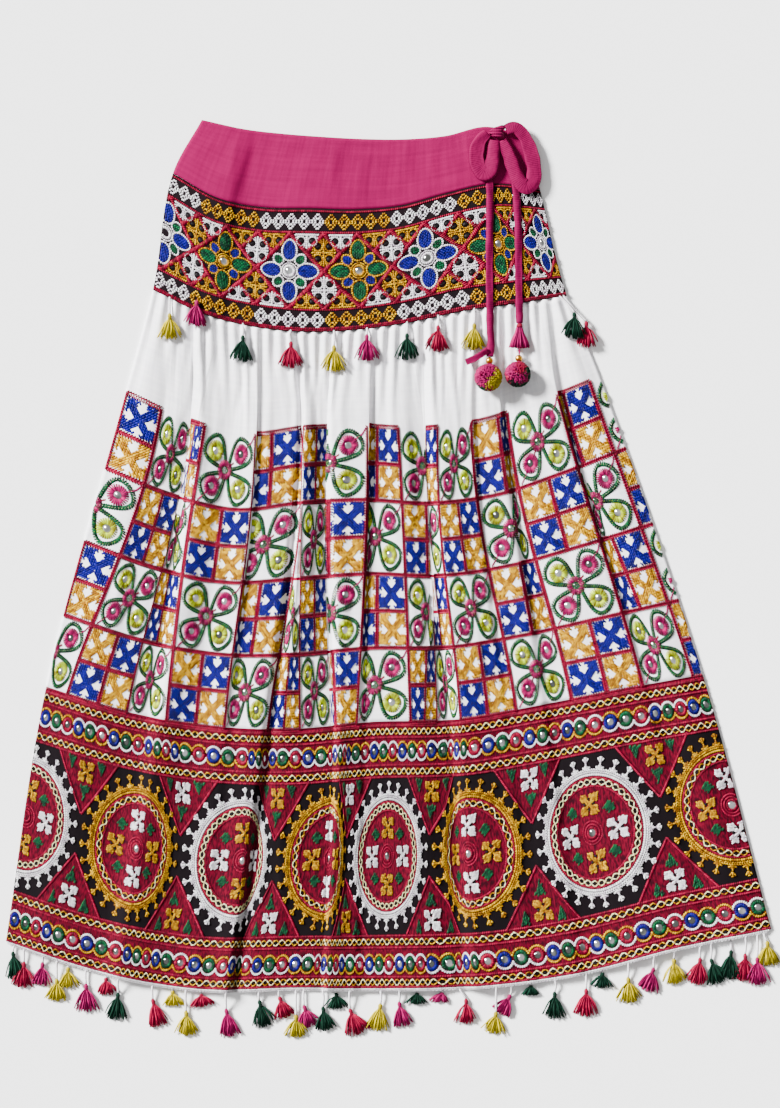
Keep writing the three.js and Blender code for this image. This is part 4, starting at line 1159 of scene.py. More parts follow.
def body_design():
    rows = []
    glass = []
    for r in range(BLOCK_ROWS):
        level = BLOCKS + (r + 0.5) * BLOCK["height"]
        for j in range(BLOCK_COLUMNS):
            x = (j + 0.5) * CELL
            plain = (j + r) % 2 == 0
            rows.append(moved(squares_block() if plain else butterfly(), x, -level))
            if not plain:
                glass += [(x + m[0], -level + m[1], m[2]) for m in BUTTERFLY_MIRRORS]
    return np.vstack(rows), glass


BODY_STITCHES, BODY_GLASS = body_design()
print("body stitches:", len(BODY_STITCHES), "mirrors:", len(BODY_GLASS))

# %% [markdown]
# ## The border: mirror rows and medallions
# Two rows of small mirrors in blue, green and red rings run between twisted cables. Between them
# stand the medallions, white and gold in turn. From the outside in, each has knotted points, a
# toothed ring, a red ring, a cable and a crimson disc with four knotted squares, four green lozenges
# and a mirror. Crimson triangles with a square and three green points fill the gaps.


# %% Knotted squares, medallions and triangles
def knotted_square(dyed, half=12.5):
    def shape(x, y):
        holes = (np.hypot(np.abs(x) - 6, y) < 2.7) | (np.hypot(x, np.abs(y) - 6) < 2.7)
        notch = (np.abs(x) < 2.4) & (np.abs(y) > 8.4) | (np.abs(y) < 2.4) & (np.abs(x) > 8.4)
        return (np.maximum(np.abs(x), np.abs(y)) < half - 1) & ~holes & ~notch

    square = two_way_filling(shape, half, (0.5, -0.9), dyed, 2.9, 1.8, 1.5)
    eyes = stitches([6, -6, 0, 0], [0, 0, 6, -6], 0.3, 4.2, 4.2, 0.35, "black")
    return np.vstack([square, eyes])


def ring_of(count, radius, maker):
    rows = []
    for k in range(count):
        turn = 2 * np.pi * (k + 0.5) / count
        rows.append(moved(turned(maker(), turn), *rotated(radius, 0, turn)))
    return np.vstack(rows)


TEETH = 26


def tooth(dyed):
    """A triangular tooth on the ring, and a knot of four small loops beyond it."""
    x = [0.5, 2.6, 4.6, 1.0, 1.0]
    y = [0, 0, 0, 3.2, -3.2]
    base = stitches(x, y, [1.57, 1.57, 0, 1.2, -1.2], [7.5, 5, 4.6, 4.6, 4.6], 2.4, 1.4, dyed)
    knot = stitches([10.2, 12.4, 8.2, 10.3, 10.3], [0, 0, 0, 2.7, -2.7], [0, 1.57, 1.57, 0.6, -0.6],
                    [4.4, 4.0, 4.0, 3.8, 3.8], 2.6, 1.8, dyed)
    return np.vstack([base, knot])


def medallion(own, other):
    rows = [ring_of(TEETH, 71, lambda: tooth(own))]
    rows.append(chain(circle(68.6), 4.6, own, 3.0, 1.7))
    rows.append(rope(circle(64.4), 2.6, own, 2.8, 1.5, 0.9))
    rows.append(rope(circle(61.0), 2.4, "red", 2.6, 1.1, 0.5))
    rows.append(cable(circle(56.5), "cream", "gold" if own == "gold" else "cream", 18.7, 2.9))
    rows.append(rope(circle(51.6), 2.4, "crimson", 2.6, 1.1, 0.5))
    for x, y, dyed in ((0, 32, other), (0, -32, other), (32, 0, own), (-32, 0, own)):
        rows.append(moved(knotted_square(dyed), x, y))
    lozenge = filling(lambda x, y: np.abs(x) + np.abs(y) < 7.6, 8, 0.8, "green", 3.8, 2.3, 1.2)
    for x in (-25, 25):
        for y in (-25, 25):
            rows.append(moved(lozenge, x, y))
    rows.append(wheel(0, 0, 4.2, 7.2, 16, "crimson", 1.6))
    for radius in (9.5, 13.0):
        rows.append(rope(circle(radius), 2.0, "crimson", 2.4, 0.8, 0.3))
    return np.vstack(rows)


def triangle(top_side, dyed):
    """The crimson triangle at the upper or lower side of the field, with its square and points."""
    half, tall = TRIANGLE["half width"], TRIANGLE["height"]
    up = 1 if top_side else -1
    base = up * FIELD["half"]
    tip = base - up * tall
    rows = [rope(side, 3.2, "crimson", 2.3) for side in ([(-half, base), (0, tip)], [(0, tip), (half, base)])]
    rows.append(moved(knotted_square(dyed), 0, base - up * 18))
    for x, away, size in ((-24, 11, 7), (24, 11, 7), (0, 43, 8.5)):
        middle = base - up * away

        def point(px, py, size=size):
            return (np.abs(px) < size * (0.5 + up * py / size / 2)) & (np.abs(py) < size)

        rows.append(moved(filling(point, size, 1.2, "green", 3.8, 2.3, 1.1), x, middle))
    return np.vstack(rows)


# %% The whole border
RINGS = ("blue", "green", "red")
# level and width of each crimson line along the border
CRIMSON_LINES = (
    (684, 4.4), (698, 2.6), (729.5, 2.6), (743, 2.4), (921.6, 2.4), (935, 2.6), (968, 2.6), (979.2, 3.2),
)


def mirror_row(level, flip):
    rows = []
    glass = []
    count = int((BORDER_PANEL.end - BORDER_PANEL.start) / ROW_PITCH)
    for i in range(count + 1):
        x = BORDER_PANEL.start + ROW_PITCH * (i + 0.5)
        rows.append(moved(wheel(0, 0, 4.0, 8.7, 18, RINGS[i % 3], 1.8), x, -level))
        upper = "white" if (i // 3 + flip) % 2 else "gold"
        lower = "gold" if upper == "white" else "white"
        for start, dyed in ((0, upper), (np.pi, lower)):
            arc = circle(10.6, 0, 0, start + 0.25, start + np.pi - 0.25, 12)
            rows.append(moved(rope(arc, 2.6, dyed, 2.6, 1.3), x, -level))
        glass.append((x, -level, 4.6))
    return rows, glass


def border_design():
    rows = []
    glass = []
    start, end = BORDER_PANEL.start, BORDER_PANEL.end
    for level in CABLE_ROWS:
        rows.append(cable([(start, -level), (end, -level)], "cream", "gold"))
    for level, width in CRIMSON_LINES:
        rows.append(rope([(start, -level), (end, -level)], width, "crimson", 2.6, 1.1))
    for flip, level in enumerate(MIRROR_ROWS):
        row, glasses = mirror_row(level, flip)
        rows += row
        glass += glasses
    for k in range(8):
        own, other = ("white", "gold") if k % 2 == 0 else ("gold", "white")
        x = FIRST_MEDALLION + k * MEDALLION
        rows.append(moved(medallion(own, other), x, -FIELD["middle"]))
        glass.append((x, -FIELD["middle"], 4.8))
        gap = x + CELL
        upper, lower = ("gold", "white") if k % 2 == 0 else ("white", "gold")
        rows.append(moved(triangle(True, upper), gap, -FIELD["middle"]))
        rows.append(moved(triangle(False, lower), gap, -FIELD["middle"]))
    return np.vstack(rows), glass


BORDER_STITCHES, BORDER_GLASS = border_design()
print("border stitches:", len(BORDER_STITCHES), "mirrors:", len(BORDER_GLASS))

# %% [markdown]
# ## The yoke: a lattice of flowers
# Red ropes cross the black yoke. The large lozenges hold flowers of eight petals round a mirror, blue
# with white outlines and green with gold ones in turn. The small ones hold lacy crosses with four
# black eyes. Above and below runs a row of double outlined lozenges, five white and five gold.


# %% Flowers, crosses and the two rows
# levels of the rows of double lozenges, and of the red lines beside them
LOZENGE_ROWS = (94, 207.5)
YOKE_LINES = (82, 106, 195.5, 219)


def petal(x, y, turn, length, width, inside, outline):
    def shape(px, py):
        return (px / length) ** 2 + (py / width) ** 2 < 0.72

    heart = filling(shape, length, 0, inside, 3.8, 2.2, 1.1)
    phi = np.linspace(0, 2 * np.pi, 24)
    edge = np.column_stack([length * np.cos(phi), width * np.sin(phi) * (1 - 0.1 * np.cos(phi))])
    rim = rope(edge, 1.9, outline, 2.6, 1.6, 0.5)
    return moved(turned(np.vstack([heart, rim]), turn), x, y)


def flower(large, small, outline):
    rows = []
    for turn in range(4):
        direction = turn * math.pi / 2
        reach = 21.5 if turn % 2 == 0 else 24
        diagonal = direction + math.pi / 4
        rows.append(petal(*rotated(reach, 0, direction), direction, 12.4, 8.9, large, outline))
        rows.append(petal(*rotated(18.6, 0, diagonal), diagonal, 6.8, 5.8, small, outline))
    rows.append(wheel(0, 0, 4.4, 7.4, 18, outline, 1.8))
    rows.append(thread(circle(9.0), 1.5, outline, 3.2, 1.2))
    return np.vstack(rows)


def lace_cross(dyed, part=0):
    """A small lozenge of lacy thread with black eyes. part is 1 or -1 for its upper or lower half."""
    strokes = [([(-14, 0), (14, 0)], 2.5), ([(0, -16), (0, 16)], 2.5)]
    for x in (-1, 1):
        for y in (-1, 1):
            strokes.append((circle(5.2, 6.6 * x, 7.2 * y, count=20), 1.5))
            strokes.append(([(9 * x, 2 * y), (14 * x, 4 * y)], 1.6))
            strokes.append(([(2 * x, 11.5 * y), (4 * x, 15 * y)], 1.6))
    rows = [rope(path, width, dyed, 2.3, 1.5, 0.6) for path, width in strokes]
    rows.append(stitches([6.6, 6.6, -6.6, -6.6], [7.2, -7.2, 7.2, -7.2], 0.4, 7, 7, 0.3, "black"))
    rows = np.vstack(rows)
    return rows[part * rows[:, 1] >= -0.6] if part else rows


def double_lozenges(x, level, dyed):
    rows = []
    for k in range(5):
        middle = x + (k - 2) * LATTICE / 5
        for half, tall in ((7.4, 9.0), (3.9, 4.6)):
            corners = [(half, 0), (0, tall), (-half, 0), (0, -tall), (half, 0)]
            path = [(middle + a, -level + b) for a, b in corners]
            rows.append(rope(path, 1.7, dyed, 2.9, 1.5, 0.3))
    return np.vstack(rows)


# %% The whole yoke
def yoke_design():
    rows = []
    glass = []
    middle = -YOKE_MIDDLE
    half, tall = LOZENGE["half"], LOZENGE["tall"]
    for k in range(-1, 8):
        x = k * LATTICE
        blue = k % 2 == 0
        large, small, outline = ("blue", "green", "white") if blue else ("green", "blue", "gold")
        rows.append(moved(flower(large, small, outline), x, middle))
        glass.append((x, middle, 4.8))
        rows += [double_lozenges(x, level, outline) for level in LOZENGE_ROWS]
        upper, lower = ("gold", "white") if blue else ("white", "gold")
        gap = x + half
        rows.append(moved(lace_cross(upper), gap, middle + tall / 2))
        rows.append(moved(lace_cross(lower), gap, middle - tall / 2))
        for side in (-half / 2, half / 2):
            rows.append(moved(lace_cross(lower, -1), gap + side, middle + tall - 1.5))
            rows.append(moved(lace_cross(upper, 1), gap + side, middle - tall + 1.5))
        for up in (-1, 1):
            for a, b, c, d in ((0, 1, 1, 0), (1, 0, 2, 1), (0.5, 0.5, 1, 1), (1, 1, 1.5, 0.5)):
                path = [(x + a * half, middle + b * up * tall), (x + c * half, middle + d * up * tall)]
                rows.append(rope(path, 5.0, "red", 2.5, 1.9, 1.15))
    for level in YOKE_LINES:
        rows.append(rope([(YOKE.start, -level), (YOKE.end, -level)], 2.2, "red", 2.4, 1.4))
    return np.vstack(rows), glass


YOKE_STITCHES, YOKE_GLASS = yoke_design()
print("yoke stitches:", len(YOKE_STITCHES), "mirrors:", len(YOKE_GLASS))

# %% [markdown]
# ## Thread, and draping the work
# Floss has a soft gloss that runs along the stitch, so fine strands are raised along each one and the
# dye varies a little. Draping then looks up every vertex on its panel. Stitches that fall where a
# fold swallows the cloth are left out first, since a fold hides them.


# %% Floss, and the draped embroidery
def thread_dye(m, spots, shade):
    """The dye that each point of the thread carries, and deeper where there are no spots."""
    dyed = m.node("ShaderNodeAttribute", {"attribute_name": "thread"}, {}).outputs["Color"]
    darker = m.node("ShaderNodeMix", {"data_type": "RGBA", "blend_type": "MULTIPLY"}, {})
    for slot, value in ((0, 1.0), (6, dyed), (7, shade)):
        m.feed(darker.inputs[slot], value)
    return m.mix(spots.clamp(), darker.outputs[2], dyed)


def floss():
    m = Finish("embroidery_floss")
    parts = m.node("ShaderNodeSeparateXYZ", {}, {0: m.on_cloth("along_thread")})
    strands = (m.value(parts.outputs[1]) * 44).math("SINE") * 0.5
    spots = m.noise(m.place(), 160, 2)
    colour = thread_dye(m, (spots - 0.42) * 3.2, (0.72, 0.70, 0.72, 1))
    normal = m.bump(strands, 0.0002, 0.5)
    return m.finish(colour, 0.5, normal, Specular_IOR_Level=0.12)


FLOSS = floss()

# cloth that is squeezed to less than this share of its width lies inside a fold
SEEN = 0.14
# the column, in flat millimetres, where a large design is cut in two pieces
CUT = {"body": 690, "border": 660}


def draped(name, panel, rows, shape, material, margin):
    """Repeats a shape over the rows that can be seen on a panel, and drapes the result."""
    inside = (rows[:, 0] > panel.start + margin) & (rows[:, 0] < panel.end - margin)
    rows = rows[inside]
    rows = rows[panel.read(panel.stretch, rows[:, 0], -rows[:, 1]) > SEEN]
    piece = repeated(name, rows, shape, material)
    flat = vertices_of(piece)
    set_vertices(piece, panel.drape(np.column_stack([flat[:, 0], -flat[:, 1], flat[:, 2]])))
    return piece


def embroider(name, panel, rows):
    return draped(name, panel, rows, STITCH, FLOSS, 1)


def embroider_halves(name, panel, rows, middle):
    """Two pieces, left and right of a column, so that neither is too large."""
    left = rows[:, 0] < middle
    return [embroider(name + "_left", panel, rows[left]), embroider(name + "_right", panel, rows[~left])]


EMBROIDERY = {
    "body": embroider_halves("body_embroidery", BODY, BODY_STITCHES, CUT["body"]),
    "border": embroider_halves("border_embroidery", BORDER_PANEL, BORDER_STITCHES, CUT["border"]),
    "yoke": [embroider("yoke_embroidery", YOKE, YOKE_STITCHES)],
}
for pieces in EMBROIDERY.values():
    for piece in pieces:
        print(piece.name, "triangles:", sum(len(p.vertices) - 2 for p in piece.data.polygons))

# %% [markdown]
# ## The drawstring
# A flat cord of the waistband's cotton is tied in a bow at the right of the waist. Its routes repeat
# the solids' points, and a smooth curve through them carries a flat oval section. A strip of cloth
# rolled into a cord is never even, so the section swells and narrows a little along its length.

# %% Routes of the cord: X, Y and height of its middle
END_LEFT = [
    (120, 506.4, 8.2), (117.4, 496.8, 8.4), (116.6, 480, 8.7), (117, 460.5, 8.9), (117.3, 430, 9),
    (117, 402.5, 9), (116.8, 370, 8.9), (117, 332.9, 8.8), (117.2, 318, 10.3), (117.3, 303, 10),
    (117.6, 286.5, 10), (118.6, 273, 9.5), (117.2, 255.2, 15.8),
]
END_RIGHT = [
    (131.2, 506.2, 7.8), (134, 500.4, 7.8), (137.6, 492, 7.8), (141.4, 481, 7.8), (144.6, 468, 7.8),
    (147.2, 450, 7.9), (148.8, 430, 8.1), (150.1, 402.5, 8.3), (150.6, 375, 8.5), (150.9, 344.5, 8.6),
    (151, 332, 8.7), (151.2, 319, 10.3), (151.4, 306, 9.9), (151.5, 294.1, 12.7),
]
LOOP_LEFT = [
    (114.5, 514, 11.8), (107.2, 507, 12), (102.6, 497, 12.2), (101.6, 485, 12.4), (104.6, 473.6, 12.6),
    (110.6, 467.6, 12.5), (117.2, 470.6, 12.4), (120.2, 479.6, 12.2), (121.6, 491, 12),
    (122.6, 500.4, 11.8), (123.4, 505.6, 11.7),
]
LOOP_RIGHT = [
    (135.8, 517.8, 11), (146, 520.4, 10.4), (154, 514.6, 9.8), (160.4, 503.6, 9.4), (165.6, 488, 9.3),
    (168.6, 471, 9.3), (166.4, 457, 9.9), (158.4, 452.6, 10.8), (150.6, 460, 11.2), (144.6, 474, 11.3),
    (139.4, 489, 11.3), (134.2, 500.4, 11.4), (131.4, 505.6, 11.4),
]

CORD = {"width": 8.5, "thickness": 3.0}
# in the bow the cloth of the cord is opened wider
LOOP = {"width": 15.0, "thickness": 2.0}
CUT_TAIL = {"width": 7.6, "thickness": 1.8}
TAIL_ROUTE = [(114.8, 263, 16.5), (108, 258, 18.5), (98.5, 252.5, 17.5), (89.5, 248.8, 15)]
SIDES = 16
print("points on the routes:", sum(len(route) for route in (END_LEFT, END_RIGHT, LOOP_LEFT, LOOP_RIGHT)))


# %% A smooth curve, and a tube along it
def smooth_route(points, step=1.5):
    """A centripetal curve through the points, at even steps, in the drawn frame."""
    points = np.array(points, float)
    points = np.vstack([2 * points[0] - points[1], points, 2 * points[-1] - points[-2]])
    made = []
    for p0, p1, p2, p3 in zip(points, points[1:], points[2:], points[3:]):
        t0 = 0.0
        t1 = t0 + np.linalg.norm(p1 - p0) ** 0.5
        t2 = t1 + np.linalg.norm(p2 - p1) ** 0.5
        t3 = t2 + np.linalg.norm(p3 - p2) ** 0.5
        for t in np.linspace(t1, t2, max(2, round(np.linalg.norm(p2 - p1) / step)), endpoint=False):
            a1 = (t1 - t) / (t1 - t0) * p0 + (t - t0) / (t1 - t0) * p1
            a2 = (t2 - t) / (t2 - t1) * p1 + (t - t1) / (t2 - t1) * p2
            a3 = (t3 - t) / (t3 - t2) * p2 + (t - t2) / (t3 - t2) * p3
            b1 = (t2 - t) / (t2 - t0) * a1 + (t - t0) / (t2 - t0) * a2
            b2 = (t3 - t) / (t3 - t1) * a2 + (t - t1) / (t3 - t1) * a3
            made.append((t2 - t) / (t2 - t1) * b1 + (t - t1) / (t2 - t1) * b2)
    made.append(points[-2])
    return np.array(made)


def run_along(path):
    return np.concatenate([[0], np.cumsum(np.linalg.norm(np.diff(path, axis=0), axis=1))])


def frames_along(path):
    """Sideways and upward vectors at each point of a path."""
    along = np.gradient(path, axis=0)
    along /= np.linalg.norm(along, axis=1)[:, None]
    up = np.array([0, 0, 1.0]) - along * along[:, 2:3]
    up /= np.linalg.norm(up, axis=1)[:, None]
    return np.cross(along, up), up


def tube(path, half_width, half_height, sides=SIDES, power=1.0):
    """Points and faces of a closed tube. A power under 1 squares its section, like a folded tape."""
    side, up = frames_along(path)
    turn = np.arange(sides) * 2 * np.pi / sides
    half_width = np.broadcast_to(half_width, len(path))
    half_height = np.broadcast_to(half_height, len(path))
    wide = np.sign(np.cos(turn)) * np.abs(np.cos(turn)) ** power
    high = np.sign(np.sin(turn)) * np.abs(np.sin(turn)) ** power
    ring = (path[:, None] + side[:, None] * (wide[None, :] * half_width[:, None])[..., None]
            + up[:, None] * (high[None, :] * half_height[:, None])[..., None])
    index = np.arange(len(path) * sides).reshape(len(path), sides)
    after = np.roll(index, -1, axis=1)
    faces = np.stack([index[:-1], index[1:], after[1:], after[:-1]], axis=-1).reshape(-1, 4).tolist()
    faces += [index[0].tolist(), index[-1][::-1].tolist()]
    return ring.reshape(-1, 3), faces


# %% The cloth of the cord, and its pieces
def cord_material():
    m = Finish("magenta_cord")
    run, around = m.flat()
    lengthwise = (around * 1.9 + (run * 0.05).math("SINE") * 0.8).math("SINE")
    weave_lines = (run * 3.1).math("SINE")
    spots = m.noise(m.place(), 120, 3)
    colour = m.mix(spots, dye(118, 1, 60), dye(90, 1, 46))
    normal = m.bump(lengthwise * 1.1 + weave_lines * 0.12 + spots * 1.6, 0.0008, 0.8)
    return m.finish(colour, 0.75, normal)


CORD_CLOTH = cord_material()


def fabric_cord(name, route, size=CORD, spread=0.0):
    """spread: how much wider the cloth opens halfway along than at the ends."""
    path = smooth_route(route)
    run = run_along(path)
    width = size["width"] * (1 - spread + 2 * spread * np.sin(np.pi * run / run[-1]) ** 0.8)
    swell = 1 + 0.05 * np.sin(run / 6.3 + len(route)) + 0.035 * np.sin(run / 2.7)
    flatter = 1 + 0.05 * np.sin(run / 9 + 1)
    points, faces = tube(path, width / 2 * swell, size["thickness"] / 2 * flatter, SIDES, 0.7)
    around = np.tile(np.linspace(-4, 4, SIDES), len(path))
    uv = np.column_stack([np.repeat(run, SIDES), around]) * MM
    made = add_mesh(name, (points + SHIFT) * MM, faces, CORD_CLOTH, uv)
    return made, (path + SHIFT) * MM, run[-1]


CORDS = {
    "drawstring_end_left": fabric_cord("drawstring_cord_end_left", END_LEFT),
    "drawstring_end_right": fabric_cord("drawstring_cord_end_right", END_RIGHT),
    "drawstring_loop_left": fabric_cord("drawstring_cord_loop_left", LOOP_LEFT, LOOP, 0.22),
    "drawstring_loop_right": fabric_cord("drawstring_cord_loop_right", LOOP_RIGHT, LOOP, 0.18),
}
for node, (_, _, length) in CORDS.items():
    print(node, "length in mm:", round(length))
TAIL = fabric_cord("drawstring_tail_left", TAIL_ROUTE, CUT_TAIL)[0]

# %% [markdown]
# ## The knot
# The knot is the same cord wrapped over itself. A rounded core fills it, and two short turns of cord
# cross its top.

# %% Core and turns of the knot
KNOT = {"x": 125.7, "y": 515.0, "z": 11.3, "half width": 8.6, "half depth": 7.6, "half height": 4.2}


def joined_mesh(name, parts, material):
    points = np.vstack([p for p, _ in parts])
    faces = []
    start = 0
    for p, f in parts:
        faces += [[i + start for i in face] for face in f]
        start += len(p)
    uv = np.column_stack([points[:, 0], points[:, 1]]) * MM
    return add_mesh(name, (points + SHIFT) * MM, faces, material, uv)


def ellipsoid(middle, radii, rings=12, sides=20):
    """A closed ball as one tube along X, pinched at its ends."""
    t = np.linspace(0.06, np.pi - 0.06, rings)
    path = np.column_stack([-np.cos(t), 0 * t, 0 * t])
    points, faces = tube(path, np.sin(t), np.sin(t), sides)
    return points * radii + middle, faces


def turn_of_cord(lean, from_side, to_side, width, rise):
    """A band over the top of the knot, from one side to the other."""
    t = np.linspace(-0.2, np.pi + 0.2, 17)
    across = -np.cos(t) * (KNOT["half width"] - 0.6)
    x = KNOT["x"] + across * math.cos(lean)
    y = KNOT["y"] + across * math.sin(lean) + np.linspace(from_side, to_side, 17)
    z = KNOT["z"] + np.sin(t) * (KNOT["half height"] - 0.4 + rise)
    return tube(np.column_stack([x, y, z]), width * (0.75 + 0.25 * np.sin(t)), 1.5)


knot_middle = np.array([KNOT["x"], KNOT["y"], KNOT["z"]])
knot = joined_mesh("drawstring_bow_knot", [
    ellipsoid(knot_middle, np.array([7.4, 6.6, 4.0])),
    turn_of_cord(0.35, 2.0, 3.4, 3.6, -0.5),
    turn_of_cord(-0.55, -4.2, 0.4, 3.9, 0.3),
], CORD_CLOTH)
print("knot faces:", len(knot.data.polygons))

# %% [markdown]
# ## Yarn: tassels, pompoms and the bell
# Each tassel is fifty strands of yarn, bound at the head and hung on a thread. A strand is a thin
# three-sided tube that bends and splays out towards its tip, and no two are the same. A pompom is a
# ball of short cut ends that all point outwards, in patches of several dyes.

# %% Strands as arrays
def yarn():
    m = Finish("cut_yarn")
    spots = m.noise(m.place(), 900, 2)
    colour = thread_dye(m, (spots - 0.4) * 3, (0.6, 0.58, 0.6, 1))
    return m.finish(colour, 0.8, m.bump(spots, 0.0003, 0.5), Specular_IOR_Level=0.15)


YARN = yarn()


class Strands:
    """Collects thin tubes of yarn and makes them one mesh, each vertex with the dye of its yarn."""

    def __init__(self):
        self.points, self.faces, self.dyes, self.count = [], [], [], 0

    def add(self, points, faces, dyed):
        self.points.append(points)
        self.faces += [[i + self.count for i in face] for face in faces]
        self.dyes.append(np.tile(dyed, (len(points), 1)))
        self.count += len(points)

    def strand(self, path, radius, dyed, sides=3):
        self.add(*tube(np.array(path, float), radius, radius, sides), dyed)

    def mesh(self, name, material=YARN):
        points = np.vstack(self.points)
        points[:, 2] = np.maximum(points[:, 2], 0.05)
        made = add_mesh(name, (points + SHIFT) * MM, self.faces, material)
        attribute = made.data.attributes.new("thread", "FLOAT_COLOR", "POINT")
        attribute.data.foreach_set("color", np.vstack(self.dyes).astype(np.float32).ravel())
        return made


def shade_of(name, low=0.75, high=1.25):
    """The dye of one yarn, a little lighter or darker than its neighbours."""
    light = np.array(DYES[name])
    light[:3] *= chance.uniform(low, high)
    return light


def add_tassel(strands, row, count=50, fan=14):
    root, head, tip = np.array(row[0:3]), np.array(row[3:6]), np.array(row[6:9])
    along = tip - head
    along[2] = 0
    length = np.linalg.norm(along)
    along /= length
    across = np.array([-along[1], along[0], 0])
    up = np.array([0, 0, 1.0])
    bend = (root + head) / 2 + across * chance.normal(0, 0.8)
    strands.strand(smooth_route([root, bend, head + along * 0.5], 2.5), 1.3, shade_of("white", 0.9, 1), 4)
    neck = head + along * min(8, length / 3)
    t = np.linspace(0, 1, 8)
    path = head + (neck - head) * t[:, None]
    bound = np.array([0.7, 1.7, 2.3, 2.5, 2.3, 1.7, 1.9, 2.4])
    strands.add(*tube(path, bound, bound * 0.85, 10), shade_of(row[9], 0.8, 0.9))
    for share in (0.62, 0.74, 0.86):
        ring = head + (neck - head) * np.array([share, share + 0.1])[:, None]
        strands.add(*tube(ring, 2.25, 2.0, 8), shade_of(row[9], 0.6, 0.7))
    for _ in range(count):
        spread = chance.normal(0, 0.48)
        spread = math.copysign(min(abs(spread), 1.05), spread)
        reach = (length + 3) * chance.uniform(0.86, 1.06) * (1 - 0.07 * spread * spread)
        start = neck - along + across * spread * 1.3 + up * chance.uniform(-1.2, 1.2)
        lift = tip[2] - head[2] + chance.uniform(-0.6, 2.4)
        end = head + along * reach + across * spread * fan + up * lift
        middle = start * 0.45 + end * 0.55 + across * (spread * 1.2 + chance.normal(0, 0.5)) + up * 0.7
        curl = end + across * chance.normal(0, 0.9) - along * 0.2
        strands.strand([start, (start + middle) / 2 + across * spread, middle, end * 0.5 + curl * 0.5],
                       [0.8, 1.05, 1.1, 0.85], shade_of(row[9], 0.8, 1.4))


# %% Where each tassel hangs: its root, head and tip, and its dye
YOKE_TASSELS = [
    (-253.6, 325, 6, -253.6, 305.8, 10.2, -253.6, 278.8, 9.2, "yellow"),
    (-222.3, 309.9, 8.2, -222.3, 320.9, 11.7, -222.3, 293.9, 10.7, "pink"),
    (-168.9, 294.2, 5.5, -168.9, 280.3, 11.6, -168.9, 253.3, 10.7, "dark green"),
    (-113.2, 286.7, 7.5, -113.2, 273.3, 10.7, -113.2, 246.3, 9.9, "rose"),
    (-63.3, 286.3, 7.2, -63.3, 268.7, 12.8, -63.3, 241.7, 12, "yellow"),
    (-25.1, 289.4, 6.8, -25.1, 281.5, 11.4, -25.1, 254.5, 10.5, "pink"),
    (21.3, 296.2, 6.8, 21.3, 282.6, 10, 21.3, 255.6, 9, "dark green"),
    (57.3, 303.8, 7.3, 57.3, 291.9, 12.3, 57.3, 264.9, 11.6, "rose"),
    (99.1, 312.1, 7.5, 99.1, 294.2, 11.3, 99.1, 267.2, 10.3, "yellow"),
    (197.5, 326.2, 5.1, 215.1, 307, 10.5, 215.1, 280, 9.7, "dark green"),
    (202, 326.9, 4.7, 229, 296.9, 6.8, 229, 269.9, 6.5, "rose"),
]
